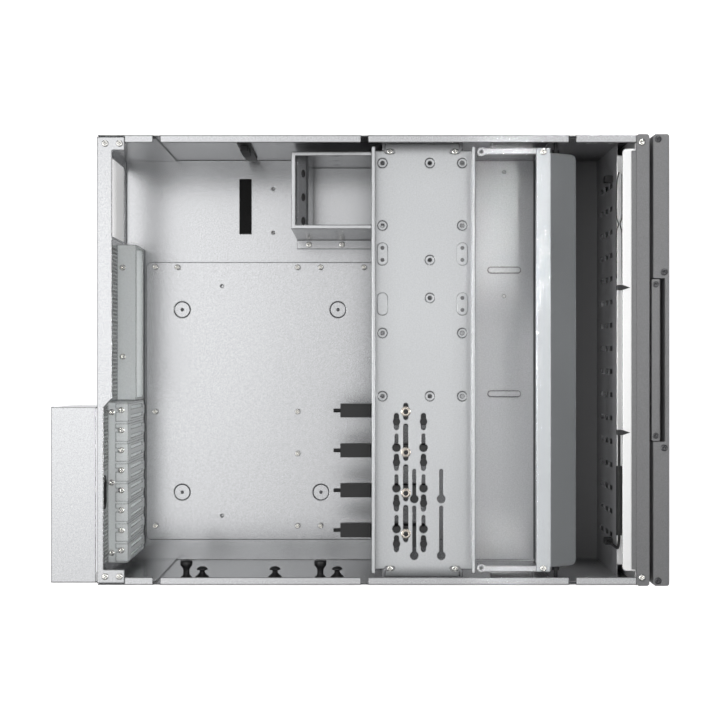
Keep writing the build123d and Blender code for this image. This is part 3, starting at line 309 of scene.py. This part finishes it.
def build_grain():
    """Rolled sheet: fine speckle and broad clouding, read from the piece's own coordinates.

    Shade is 1 plus the speckle and clouding, each less its mean, times its own amount. Rough is a share of
    the clouding.
    """
    group, source, sink = new_group(
        "sheet grain",
        [("Speckle", 0.1), ("Clouding", 0.08), ("Size", 700.0)],
        ["Shade", "Rough", "Height"],
    )
    at = group.nodes.new("ShaderNodeTexCoord").outputs["Object"]
    speckle = noise_node(group, at, source.outputs["Size"], 3.0, 0.7)
    cloud = noise_node(group, at, 9.0, 2.0)
    speckle_part = about_mean(group, speckle, source.outputs["Speckle"])
    cloud_part = about_mean(group, cloud, source.outputs["Clouding"])
    shade = math_node(group, "ADD", math_node(group, "ADD", speckle_part, cloud_part), 1.0)
    group.links.new(shade, sink.inputs["Shade"])
    group.links.new(math_node(group, "MULTIPLY", cloud_part, 0.6), sink.inputs["Rough"])
    group.links.new(speckle, sink.inputs["Height"])
    return group


def build_texture():
    """Powder coat or moulded texture: rounded bumps from a fine noise, and a faint shade from the same."""
    inputs = [("Size", 900.0), ("Contrast", 0.3)]
    group, source, sink = new_group("fine texture", inputs, ["Shade", "Height"])
    at = group.nodes.new("ShaderNodeTexCoord").outputs["Object"]
    bumps = noise_node(group, at, source.outputs["Size"], 2.0, 0.6)
    part = about_mean(group, bumps, source.outputs["Contrast"])
    group.links.new(math_node(group, "ADD", part, 1.0), sink.inputs["Shade"])
    group.links.new(bumps, sink.inputs["Height"])
    return group


def build_handling():
    """Dust and handling: broad soft patches, broken up by a finer noise."""
    group, source, sink = new_group("handling", [("Amount", 0.1)], ["Mask"])
    at = group.nodes.new("ShaderNodeTexCoord").outputs["Object"]
    patches = noise_node(group, at, 14.0, 4.0, 0.6)
    fine = noise_node(group, at, 160.0, 3.0, 0.6)
    lifted = math_node(group, "SUBTRACT", math_node(group, "MULTIPLY", patches, fine), 0.18)
    held = math_node(group, "MAXIMUM", lifted, 0.0)
    group.links.new(math_node(group, "MULTIPLY", held, source.outputs["Amount"]), sink.inputs["Mask"])
    return group


GRAIN = build_grain()
TEXTURE = build_texture()
HANDLING = build_handling()


# Finishes

def place_group(tree, group, **values):
    """Put a node group into a material with its own values."""
    node = tree.nodes.new("ShaderNodeGroup")
    node.node_tree = group
    for label, value in values.items():
        node.inputs[label].default_value = value
    return node


def start_material(name, roughness, metallic):
    """A material with a Principled shader of one roughness and metallic value."""
    material = bpy.data.materials.new(name)
    material.use_nodes = True
    shader = material.node_tree.nodes["Principled BSDF"]
    shader.inputs["Roughness"].default_value = roughness
    shader.inputs["Metallic"].default_value = metallic
    return material, material.node_tree, shader


def shaded_colour(tree, colour, shade):
    """A base colour times a shade that changes over the surface."""
    mix = tree.nodes.new("ShaderNodeMix")
    mix.data_type = "RGBA"
    mix.blend_type = "MULTIPLY"
    mix.inputs["Factor"].default_value = 1.0
    mix.inputs["A"].default_value = (*colour, 1.0)
    tree.links.new(shade, mix.inputs["B"])
    return mix.outputs["Result"]


def bump_normal(tree, height, strength, distance, rounded=None):
    """A bump of this height field, with its depth in metres, over the face's own normal or a rounded one."""
    bump = tree.nodes.new("ShaderNodeBump")
    if rounded:
        tree.links.new(rounded, bump.inputs["Normal"])
    bump.inputs["Strength"].default_value = strength
    bump.inputs["Distance"].default_value = distance
    tree.links.new(height, bump.inputs["Height"])
    return bump.outputs["Normal"]


# Share of painted shade at the rounded edges
EDGE_PAINTED_SHADE = 0.85
EDGE_GAIN = 5.0


def rounded_edges(tree, radius):
    """Folds and cut edges: a normal rounded over a radius in metres, and a painted shade that darkens the
    colour there, standing in for the dark that the rounded edges reflect.

    The painted shade is 1 less the dark share times how far the rounded normal leans from the face's own. The
    lean is
    1 less the two normals' dot product, times a gain, and at most 1.
    """
    rounded = tree.nodes.new("ShaderNodeBevel")
    rounded.samples = 8
    rounded.inputs["Radius"].default_value = radius
    both = tree.nodes.new("ShaderNodeVectorMath")
    both.operation = "DOT_PRODUCT"
    tree.links.new(rounded.outputs["Normal"], both.inputs[0])
    tree.links.new(tree.nodes.new("ShaderNodeNewGeometry").outputs["Normal"], both.inputs[1])
    lean = math_node(tree, "SUBTRACT", 1.0, both.outputs["Value"])
    lean = math_node(tree, "MINIMUM", math_node(tree, "MULTIPLY", lean, EDGE_GAIN), 1.0)
    shade = math_node(tree, "SUBTRACT", 1.0, math_node(tree, "MULTIPLY", lean, EDGE_PAINTED_SHADE))
    return rounded.outputs["Normal"], shade


GRAIN_BUMP = 0.05
GRAIN_DEPTH = 0.0004
BAY_BLEND = 0.004
BAY_LEVELS = (0.02, 0.01)
BAY_PAINTED_LIGHT = 0.7
BAY_METAL = 0.15


def sheet_finish(name, colour, roughness, metal=1.0, speckle=0.25, clouding=0.10, size=700.0, edge=0.0018,
                 bay=None):
    """Zinc-coated sheet: dull metal with a rolled grain and rounded edges, darkened there by painted shade.

    With a bay, the low sheet ahead of that station is duller and has painted light: a paler colour that
    stands in for the light on the fan bay's floor.
    """
    material, tree, shader = start_material(name, roughness, metal)
    grain = place_group(tree, GRAIN, Speckle=speckle, Clouding=clouding, Size=size)
    shade, rounded = grain.outputs["Shade"], None
    if edge:
        # painted shade along the edges
        rounded, painted_edge_shade = rounded_edges(tree, edge)
        shade = math_node(tree, "MULTIPLY", shade, painted_edge_shade)
    # painted light: the fan bay's floor is made paler
    if bay:
        _, y, z = axes(tree)
        ahead = smooth_step(tree, y, bay + BAY_BLEND, bay)
        inside = math_node(tree, "MULTIPLY", ahead, smooth_step(tree, z, *BAY_LEVELS))
        painted_light = math_node(tree, "ADD", math_node(tree, "MULTIPLY", inside, BAY_PAINTED_LIGHT), 1.0)
        shade = math_node(tree, "MULTIPLY", shade, painted_light)
        dull = math_node(tree, "SUBTRACT", metal, math_node(tree, "MULTIPLY", inside, metal - BAY_METAL))
        tree.links.new(dull, shader.inputs["Metallic"])
    tree.links.new(shaded_colour(tree, colour, shade), shader.inputs["Base Color"])
    rough = math_node(tree, "ADD", grain.outputs["Rough"], roughness)
    tree.links.new(rough, shader.inputs["Roughness"])
    normal = bump_normal(tree, grain.outputs["Height"], GRAIN_BUMP, GRAIN_DEPTH, rounded)
    tree.links.new(normal, shader.inputs["Normal"])
    return material


COAT_DEPTH = 0.0005
COAT_DUST = 0.15
PAINTED_LIGHT_LEVELS = (0.01, 0.09)


def coat_finish(name, colour, roughness, size=900.0, contrast=0.3, strength=0.3, rise=0.0):
    """Paint, moulding or rubber: a fine texture in colour and normal, with a little dust in its roughness.

    With a rise, the coat pales by that share from 10 to 90 mm up: painted light, stronger higher on the
    walls.
    """
    material, tree, shader = start_material(name, roughness, 0.0)
    grain = place_group(tree, TEXTURE, Size=size, Contrast=contrast)
    shade = grain.outputs["Shade"]
    if rise:
        # painted light: paler higher up
        _, _, z = axes(tree)
        painted_light = math_node(tree, "MULTIPLY", smooth_step(tree, z, *PAINTED_LIGHT_LEVELS), rise)
        shade = math_node(tree, "MULTIPLY", shade, math_node(tree, "ADD", painted_light, 1.0))
    tree.links.new(shaded_colour(tree, colour, shade), shader.inputs["Base Color"])
    worn = place_group(tree, HANDLING, Amount=COAT_DUST)
    tree.links.new(math_node(tree, "ADD", worn.outputs["Mask"], roughness), shader.inputs["Roughness"])
    tree.links.new(bump_normal(tree, grain.outputs["Height"], strength, COAT_DEPTH), shader.inputs["Normal"])
    return material


ZINC_COLOUR = (0.47, 0.475, 0.485)
BRIDGE_COLOUR = (0.50, 0.51, 0.52)
BAY_STATION = -0.108
ZINC = sheet_finish("zinc sheet", ZINC_COLOUR, 0.25, 0.85, speckle=0.5)
# The base pan's sheet, with painted light on the fan bay's floor
PAN_ZINC = sheet_finish("pan sheet", ZINC_COLOUR, 0.25, 0.85, speckle=0.5, bay=BAY_STATION)
PLATE_ZINC = sheet_finish("flush plate", ZINC_COLOUR, 0.25, 0.85, speckle=0.5, edge=0.0)
BRIDGE_ZINC = sheet_finish("bridge sheet", BRIDGE_COLOUR, 0.30, 0.8, speckle=0.4)
PAD_ZINC = sheet_finish("raised pad sheet", BRIDGE_COLOUR, 0.30, 0.8, speckle=0.4, edge=0.0009)
COVER_ZINC = sheet_finish("slot cover sheet", (0.90, 0.93, 0.93), 0.40, 0.05, speckle=0.3)
APRON_ZINC = sheet_finish("bracket sheet", (0.50, 0.52, 0.535), 0.24, 0.8)
# Zinc of the front wall and its ledge, made paler as painted light
PAINTED_LIGHT_ZINC = sheet_finish("zinc with painted light", (0.88, 0.88, 0.88), 0.34, 0.6, speckle=0.12)
NICKEL = sheet_finish("nickel plate", (0.86, 0.85, 0.82), 0.22, speckle=0.12, size=1500.0, edge=0.0)
NUT_STEEL = sheet_finish("nut steel", (0.62, 0.57, 0.51), 0.26, speckle=0.2, clouding=0.2, size=1500.0,
                         edge=0.0)
DARK_SCREW = sheet_finish("blackened screw", (0.12, 0.12, 0.125), 0.35, speckle=0.2, size=1500.0, edge=0.0)
DULL_STUD = sheet_finish("dull stud steel", (0.20, 0.20, 0.205), 0.45, 0.5, edge=0.0)
# Its rise paints light on the front tray's wall, paler higher up.
BLACK_PAINT = coat_finish("black powder coat", (0.10, 0.10, 0.103), 0.55, rise=2.2)
FRONT_GREY = coat_finish("front moulding", (0.225, 0.225, 0.230), 0.55, contrast=0.5)
MESH_BLACK = coat_finish("mesh paint", (0.02, 0.02, 0.021), 0.5)
BLACK_PLASTIC = coat_finish("black plastic", (0.012, 0.012, 0.013), 0.42, size=1400.0, strength=0.12)
RUBBER = coat_finish("black rubber", (0.012, 0.012, 0.012), 0.62, size=1200.0, strength=0.2)
FOAM = coat_finish("black foam", (0.014, 0.014, 0.014), 0.9, size=1600.0, contrast=0.9, strength=0.9)


def finish_piece(piece, material, body, slot, *replaced):
    """Give a made piece its finish and its body, and hide the nodes it stands for; the slot is not used."""
    piece.data.materials.clear()
    piece.data.materials.append(material)
    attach(piece, body)
    if replaced:
        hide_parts(*replaced)


JOIN_DISTANCE = 0.00001
FOLD_ANGLE = 40


def dress(node, material, width):
    """Give a CAD node its finish, with its triangles joined and its edges broken by a small bevel."""
    piece = nodes[node]
    piece.data.materials.clear()
    piece.data.materials.append(material)
    if width:
        weld = piece.modifiers.new("join", "WELD")
        weld.merge_threshold = JOIN_DISTANCE
        bevel = piece.modifiers.new("broken edges", "BEVEL")
        bevel.width = width * MM
        bevel.segments = 2
        bevel.limit_method = "ANGLE"
        bevel.angle_limit = math.radians(FOLD_ANGLE)


# Finishes of the CAD nodes that show as they are, with the width of their broken edges
SHEET_EDGE = 0.25
PLASTIC_EDGE = 0.4
MOULDED_EDGE = 0.6
holders = [f"holder_{index}" for index in range(1, 5)]
for material, width, labels in (
    (PAN_ZINC, SHEET_EDGE, ["base_pan"]),
    (ZINC, SHEET_EDGE, ["rear_panel", "motherboard_tray", "drive_cage", "bridge_ledge_left",
                        "bridge_ledge_right", "bracket_arm_left", "bracket_arm_right", "rear_hood"]),
    (PAINTED_LIGHT_ZINC, SHEET_EDGE, ["front_wall", "front_ledge"]),
    (COVER_ZINC, SHEET_EDGE, ["io_frame", "slot_frame", *(f"slot_cover_{index}" for index in range(1, 9))]),
    (BRIDGE_ZINC, SHEET_EDGE, ["bridge_tray"]),
    (APRON_ZINC, SHEET_EDGE, ["fan_bracket"]),
    (BLACK_PAINT, SHEET_EDGE, ["front_tray"]),
    (FRONT_GREY, MOULDED_EDGE, ["door", "front_frame", "door_handle"]),
    (MESH_BLACK, SHEET_EDGE, ["hinge_arm_lower", "hinge_arm_upper"]),
    (BLACK_PLASTIC, PLASTIC_EDGE, [f"card_{holder}" for holder in holders]),
    (BLACK_PLASTIC, PLASTIC_EDGE, ["power_clip", "cable_clip_left", "cable_clip_right", "cable_boots"]),
    (BLACK_PLASTIC, 0, ["apron_pins"]),
    (RUBBER, 0, ["cable_grommet", "cable_sleeve", "panel_cable_left"]),
    (FOAM, 0, ["power_pad"]),
    (NICKEL, 0, ["hinge_pin_lower", "hinge_pin_upper"]),
):
    for label in labels:
        dress(label, material, width)

# Screws: a cross-head on each seat, over its shank
SCREW_RADIUS = 3.2
SCREW_RISE = 1.6
for node, body, material in (
    ("case_screws", "case", NICKEL),
    ("slot_screws", "case", NICKEL),
    ("door_screws", "door", DARK_SCREW),
):
    places = solid_places(node, reach=7.0)
    seats = np.stack([places[:, 0], places[:, 1], places[:, 3] - SCREW_RISE], axis=-1)
    head = copies(*cross_head(SCREW_RADIUS, SCREW_RISE), seats)
    finish_piece(mesh_piece(node + "_heads", *head), material, body, "nickel", node)

# Standoffs: turned, with a chamfered top and a bore
STANDOFF = [(0.0, 0.0), (2.8, 0.0), (2.8, 5.9), (2.3, 6.5), (1.7, 6.5), (1.5, 6.2), (1.5, 1.2), (0.0, 1.2)]
standoff_seats = solid_places("board_standoffs", reach=6.0)[:, :3]
standoffs = copies(*turned(STANDOFF), standoff_seats)
finish_piece(mesh_piece("standoffs", *standoffs), NICKEL, "case", "nickel", "board_standoffs")

# Nuts of the card holders, each on a washer, with the stud's end inside
WASHER_HEIGHT = 0.8
WASHER = [(2.2, 0.0), (5.0, 0.0), (5.0, 0.6), (4.8, WASHER_HEIGHT), (2.2, WASHER_HEIGHT), (2.2, 0.0)]
NUT_STUD = [(0.0, 0.8), (1.95, 0.8), (1.95, 3.3), (1.6, 3.7), (0.8, 3.9), (0.0, 3.95)]
for holder in holders:
    node = holder.replace("holder", "holder_nut")
    seat = solid_places(node, reach=12.0)[:, :3]
    nut = joined(
        copies(*turned(WASHER, 36), seat),
        copies(*hex_nut(radius=4.2, height=2.6, bore=2.0), seat + (0.0, 0.0, WASHER_HEIGHT)),
        copies(*turned(NUT_STUD, 24), seat),
    )
    finish_piece(mesh_piece(node + "_turned", *nut), NUT_STEEL, holder, "nickel", node)

# Posts and buttons on the left wall: turned profiles laid over to point away from it
POST = [(0.0, 0.0), (5.6, 0.0), (5.2, 0.9), (3.6, 1.9), (3.2, 3.2), (3.1, 6.0), (3.4, 8.2), (4.6, 10.2),
        (5.8, 11.6), (6.2, 12.8), (6.2, 15.8), (5.7, 16.7), (4.4, 17.0), (2.0, 16.5), (0.0, 16.4)]
BUTTON = [(0.0, 0.0), (7.0, 0.0), (6.2, 1.3), (4.2, 2.9), (2.8, 4.6), (2.6, 7.3), (5.4, 7.5), (5.6, 7.9),
          (5.1, 9.0), (3.8, 10.1), (1.9, 10.8), (0.0, 11.0)]
for node, profile in (("wall_posts", POST), ("wall_buttons", BUTTON)):
    low, high = span(node)
    points, faces = turned(profile, 32)
    axis_level = (low[2] + high[2]) / 2
    lying = np.stack([points[..., 2] + low[0], points[..., 1], axis_level - points[..., 0]], axis=-1)
    stations = solid_places(node, reach=24.0)[:, 1]
    shift = np.stack([0 * stations, stations, 0 * stations], axis=-1)
    row = copies(lying, faces, shift)
    finish_piece(mesh_piece(node + "_turned", *row), BLACK_PLASTIC, "case", "black_plastic", node)

# Flush plates in the tray's round pits, which leave a dark ring round each, and a dark disc in the middle as
# painted shade of the pit's bore
DIMPLE = [(0.0, 0.0), (6.4, 0.0), (7.7, 2.4), (8.1, 2.9), (8.1, 3.5), (8.0, 3.7), (7.9, 3.72), (7.8, 3.72),
          (2.0, 3.72), (1.9, 3.72), (1.7, 3.5), (1.7, 2.6), (0.0, 2.6)]
PIT_SHADE_DISC = [(0.0, 2.65), (1.65, 2.65), (1.65, 3.3), (1.4, 3.5), (0.0, 3.2)]
PIT_FLOOR = 2.45
PIT_SIDE = 52.0
PIT_REAR = 39.3
PIT_FRONT_RIGHT = 209.6
PIT_FRONT_LEFT = 191.0
tray_low, tray_high = span("motherboard_tray")
pit_right, pit_left, tray_rear = tray_high[0] - PIT_SIDE, tray_low[0] + PIT_SIDE, tray_high[1]
pit_seats = np.array([
    (pit_right, tray_rear - PIT_REAR, PIT_FLOOR),
    (pit_right, tray_rear - PIT_FRONT_RIGHT, PIT_FLOOR),
    (pit_left, tray_rear - PIT_REAR, PIT_FLOOR),
    (pit_left, tray_rear - PIT_FRONT_LEFT, PIT_FLOOR),
])
dimples = copies(*turned(DIMPLE, 40), pit_seats)
finish_piece(mesh_piece("tray_dimples", *dimples), PLATE_ZINC, "case", "zinc_sheet")
# painted shade: dark discs where the bores are
pit_shades = copies(*turned(PIT_SHADE_DISC, 20), pit_seats)
finish_piece(mesh_piece("tray_pit_shades", *pit_shades), DARK_SCREW, "case", "nickel")

# Raised pads over the bridge's oblong holes, three of them with two studs
PAD = [(0.0, 0.0), (5.6, 0.0), (5.6, 0.2), (5.3, 0.8), (5.0, 1.0), (4.8, 1.0), (0.0, 1.0)]
PAD_STUD = [(0.0, 0.9), (2.0, 0.9), (2.0, 1.05), (1.8, 1.15), (0.0, 1.1)]
PAD_RUN = 12.0
PAD_ROWS = (110.2, 160.1)
PAD_INSET = 11.0
BRIDGE_SHEET = 1.2
STUDDED_PADS = [0, 1, 3]
bridge_low, bridge_high = span("bridge_tray")
pad_seats = np.array([(bridge_high[0] - row, y, bridge_low[2] + BRIDGE_SHEET) for row in PAD_ROWS
                      for y in (bridge_high[1] - PAD_INSET, bridge_low[1] + PAD_INSET)])
studded = pad_seats[STUDDED_PADS]
half_run = np.array([PAD_RUN / 2, 0.0, 0.0])
pads = copies(*stretched(PAD, PAD_RUN), pad_seats)
finish_piece(mesh_piece("bridge_pads", *pads), PAD_ZINC, "case", "zinc_sheet")
pad_studs = copies(*turned(PAD_STUD, 20), np.concatenate([studded + half_run, studded - half_run]))
finish_piece(mesh_piece("bridge_pad_studs", *pad_studs), DULL_STUD, "case", "nickel")

# Folded flange inside the drive cage, along its rear wall, with three black ovals on it as painted shade of
# holes
FLANGE = [(-0.1, -3.0), (-2.6, -12.0), (-4.4, -14.5), (-13.2, -20.0), (-15.0, -23.0), (-18.0, -76.0)]
FLANGE_SHEET = 0.8
FLANGE_INSETS = (12.4, 1.4)
CAGE_WALL = 1.1
cage_low, cage_high = span("drive_cage")
cage_back, cage_top = cage_high[1] - CAGE_WALL, cage_high[2]
flange_ends = (cage_low[0] + FLANGE_INSETS[0], cage_high[0] - FLANGE_INSETS[1])
flange = folded(np.array(FLANGE) + (cage_back, cage_top), flange_ends, FLANGE_SHEET)
finish_piece(mesh_piece("cage_flange", *flange, False), ZINC, "case", "zinc_sheet")

# Painted shade of the flange's holes: flat black ovals, sheared to lie on the flange's slope
HOLE_SHADE = [(0.0, -0.5), (1.0, -0.5), (1.0, 0.1), (0.9, 0.25), (0.0, 0.3)]
HOLE_SHADE_LENGTH = 4.0
HOLE_SHADE_WIDTH = 1.9
HOLE_SHADE_SLOPE = 0.62
HOLE_SHADE_PITCH = 24.0
HOLE_SHADE_BACK = 10.4
HOLE_SHADE_DOWN = 18.1
disc, disc_faces = turned(HOLE_SHADE, 24)
oval = np.stack([disc[..., 0] * HOLE_SHADE_LENGTH, disc[..., 1] * HOLE_SHADE_WIDTH,
                 disc[..., 2] + HOLE_SHADE_SLOPE * disc[..., 1] * HOLE_SHADE_WIDTH], axis=-1)
hole_shade_x = (cage_low[0] + cage_high[0]) / 2 + np.array([-HOLE_SHADE_PITCH, 0.0, HOLE_SHADE_PITCH])
hole_shade_y = np.full(3, cage_back - HOLE_SHADE_BACK)
hole_shade_z = np.full(3, cage_top - HOLE_SHADE_DOWN)
hole_shade_seats = np.stack([hole_shade_x, hole_shade_y, hole_shade_z], axis=-1)
hole_shades = copies(oval, disc_faces, hole_shade_seats)
finish_piece(mesh_piece("cage_hole_shades", *hole_shades), BLACK_PLASTIC, "case", "black_plastic")

# Fine mesh in the door, and behind the rear wall's vents
low, high = span("door_mesh")
door_plate = mesh_plate(low, high, pitch=5.6, hole=2.25, depth=high[1] - low[1])
finish_piece(mesh_piece("door_mesh_fine", *door_plate, False), MESH_BLACK, "door", "mesh_paint", "door_mesh")
VENT_DEPTH = 0.4
VENT_GAP = 0.02
VENT_RISE = 2.0
IO_VENT_INSET = 4.0
IO_VENT_TOP = 142.0
SLOT_VENT_INSET = 3.0
SLOT_VENT_TOP = 168.0
SLOT_VENT_BREAK = (-152.0, -112.0)
io_low, io_high = span("io_frame")
slot_low, slot_high = span("slot_frame")
wall_y = io_high[1] - VENT_DEPTH - VENT_GAP
io_foot, slot_foot = io_high[2] + VENT_RISE, slot_high[2] + VENT_RISE
for name, left, right, foot, top in (
    ("io_vent_mesh", io_low[0] + IO_VENT_INSET, io_high[0] - IO_VENT_INSET, io_foot, IO_VENT_TOP),
    ("slot_vent_mesh_left", slot_low[0] + SLOT_VENT_INSET, SLOT_VENT_BREAK[0], slot_foot, SLOT_VENT_TOP),
    ("slot_vent_mesh_right", SLOT_VENT_BREAK[1], slot_high[0] - SLOT_VENT_INSET, slot_foot, SLOT_VENT_TOP),
):
    plate = mesh_plate((left, wall_y, foot), (right, wall_y, top), pitch=4.0, hole=1.45, depth=VENT_DEPTH)
    finish_piece(mesh_piece(name, *plate, False), COVER_ZINC, "case", "zinc_sheet")

# Panel wires on the right: two that run along the ledge, cross in a tie and end in a hook and in the boot
WIRE_LEVEL = 170.3
WIRE_RADIUS = 0.6
WIRE_NEAR = [(71.5, -264.5), (72.5, -259.5), (80.0, -257.6), (110.0, -257.4), (126.0, -257.2),
             (133.5, -255.4), (141.0, -257.2), (158.0, -257.4), (183.0, -257.4)]
WIRE_FAR = [(80.0, -252.0), (110.0, -251.9), (126.0, -252.1), (133.5, -253.8), (141.0, -252.1),
            (160.0, -251.9), (176.0, -252.6), (184.5, -254.4)]
wires = joined(tube(WIRE_NEAR, WIRE_LEVEL, WIRE_RADIUS), tube(WIRE_FAR, WIRE_LEVEL, WIRE_RADIUS))
finish_piece(mesh_piece("panel_wires_right", *wires), RUBBER, "case", "black_rubber", "panel_cable_right")


# Stage, light and camera

FLOOR_REACH = 6000.0
FLOOR_LEVEL = -1.0
FLOOR_GLOW = 0.65
GLOW_EDGE = (0.004, 0.016)
CASE_HALF_WIDTH = 0.221
CASE_REAR = 0.2625
CASE_FRONT = 0.3025
CASE_HEIGHT = 0.177


def build_floor():
    """A pale level floor, which glows to the eye and to shiny metal outside the case's outline.

    How far a point is outside is the largest of its distances past the sides, the rear and the front.
    """
    square = np.array([(-1, -1), (1, -1), (1, 1), (-1, 1)]) * FLOOR_REACH
    corners = np.column_stack([square, np.full(4, FLOOR_LEVEL)])
    floor = mesh_piece("studio_floor", corners, [[0, 1, 2, 3]], False)
    material, tree, shader = start_material("pale floor", 0.9, 0.0)
    shader.inputs["Base Color"].default_value = (0.93, 0.93, 0.93, 1.0)
    shader.inputs["Specular IOR Level"].default_value = 0.0
    shader.inputs["Emission Color"].default_value = (1.0, 1.0, 1.0, 1.0)
    rays = tree.nodes.new("ShaderNodeLightPath")
    seen = math_node(tree, "MAXIMUM", rays.outputs["Is Camera Ray"], rays.outputs["Is Glossy Ray"])
    seen = math_node(tree, "MAXIMUM", seen, rays.outputs["Is Transmission Ray"])
    x, y, _ = axes(tree)
    beside = math_node(tree, "SUBTRACT", math_node(tree, "ABSOLUTE", x), CASE_HALF_WIDTH)
    behind = math_node(tree, "SUBTRACT", y, CASE_REAR)
    before = math_node(tree, "SUBTRACT", math_node(tree, "MULTIPLY", y, -1.0), CASE_FRONT)
    outside = math_node(tree, "MAXIMUM", math_node(tree, "MAXIMUM", beside, behind), before)
    seen = math_node(tree, "MULTIPLY", seen, smooth_step(tree, outside, *GLOW_EDGE))
    tree.links.new(math_node(tree, "MULTIPLY", seen, FLOOR_GLOW), shader.inputs["Emission Strength"])
    floor.data.materials.append(material)


def soft_light(name, place, aim, size, power, spread=180.0):
    """A soft light at a place, turned to face a point, with its beam held to a spread in degrees."""
    lamp = bpy.data.lights.new(name, "AREA")
    lamp.spread = math.radians(spread)
    lamp.shape = "RECTANGLE"
    lamp.size, lamp.size_y = size
    lamp.energy = power
    holder = bpy.data.objects.new(name, lamp)
    bpy.context.scene.collection.objects.link(holder)
    holder.location = place
    holder.rotation_euler = (Vector(place) - Vector(aim)).to_track_quat("Z", "Y").to_euler()


def build_world():
    """Soft overhead panels: a bright sky above, panels before and behind, and a faint band low down.

    With x, y and z the direction, the strength is a low level plus three parts. Above is a smooth step of z,
    times a level that rises to the rear in two steps and to the front in one, times a tilt that rises to the
    power-supply side and then dips. Beside is a smooth step of z times one of the size of y, held to small x
    and stronger to the rear. Around is a level that fades out with z. The camera itself sees white.
    """
    world = bpy.data.worlds.new("studio")
    bpy.context.scene.world = world
    world.use_nodes = True
    tree = world.node_tree
    x, y, z = axes(tree, "Generated")

    def rise(value, low, high, amount):
        """A smooth step of a value, times an amount."""
        return math_node(tree, "MULTIPLY", smooth_step(tree, value, low, high), amount)

    def add(*parts):
        """The sum of sockets, of which the last may be a number."""
        total = parts[0]
        for part in parts[1:]:
            total = math_node(tree, "ADD", total, part)
        return total

    front = math_node(tree, "MULTIPLY", y, -1.0)
    level = add(rise(y, 0.0, 0.11, 1.30), rise(y, 0.13, 0.20, 0.35), rise(front, 0.06, 0.12, 0.60), 0.97)
    tilt = add(rise(x, -0.15, 0.05, 0.33), rise(x, 0.05, 0.13, -0.12), 0.71)
    above = rise(z, 0.90, 0.985, math_node(tree, "MULTIPLY", level, tilt))
    beside = rise(z, 0.55, 0.75, smooth_step(tree, math_node(tree, "ABSOLUTE", y), 0.25, 0.40))
    beside = rise(math_node(tree, "ABSOLUTE", x), 0.40, 0.20, beside)
    beside = math_node(tree, "MULTIPLY", beside, add(smooth_step(tree, y, -0.2, 0.2), 0.85))
    around = rise(z, 0.50, 0.30, 0.14)
    seen = tree.nodes.new("ShaderNodeLightPath").outputs["Is Camera Ray"]
    strength = math_node(tree, "MAXIMUM", add(above, beside, around, 0.12), seen)
    sky = tree.nodes["Background"]
    sky.inputs["Color"].default_value = (1.0, 1.0, 1.0, 1.0)
    tree.links.new(strength, sky.inputs["Strength"])


build_floor()
soft_light("key", (1.20, 0.30, 1.3), (0.0, 0.0, 0.1), (0.9, 0.9), 3.0)
soft_light("fan_bay", (0.0, 0.0, 2.4), (0.0, -0.156, 0.0), (0.80, 0.03), 0.0075, 2.0)
soft_light("fan_bay_right", (-0.10, -0.150, 2.4), (0.158, -0.152, 0.0), (0.05, 0.14), 0.0056, 2.0)
soft_light("fan_bay_left", (0.10, 0.0, 2.4), (-0.202, -0.154, 0.0), (0.04, 0.04), 0.0020, 2.0)
soft_light("rear_fill", (-0.05, -0.90, 1.6), (-0.05, 0.245, 0.09), (0.3, 0.3), 0.12, 22.0)
soft_light("front_fill", (0.05, 0.90, 1.6), (0.0, -0.262, 0.12), (0.3, 0.3), 0.12, 22.0)
soft_light("front_key", (0.90, -0.45, 0.9), (0.16, -0.285, 0.17), (0.3, 0.3), 0.15, 30.0)
build_world()

CAMERA_RISE = 1.450
VIEW_WIDTH = 0.704
SENSOR = 36.0
camera_data = bpy.data.cameras.new("overhead")
camera_data.sensor_width = SENSOR
camera_data.lens = SENSOR * CAMERA_RISE / VIEW_WIDTH
camera = bpy.data.objects.new("overhead", camera_data)
bpy.context.scene.collection.objects.link(camera)
camera.location = (0.0, 0.0, CASE_HEIGHT + CAMERA_RISE)
camera.rotation_euler = (0.0, 0.0, -math.pi / 2)
bpy.context.scene.camera = camera
bpy.context.scene.view_settings.view_transform = "Standard"
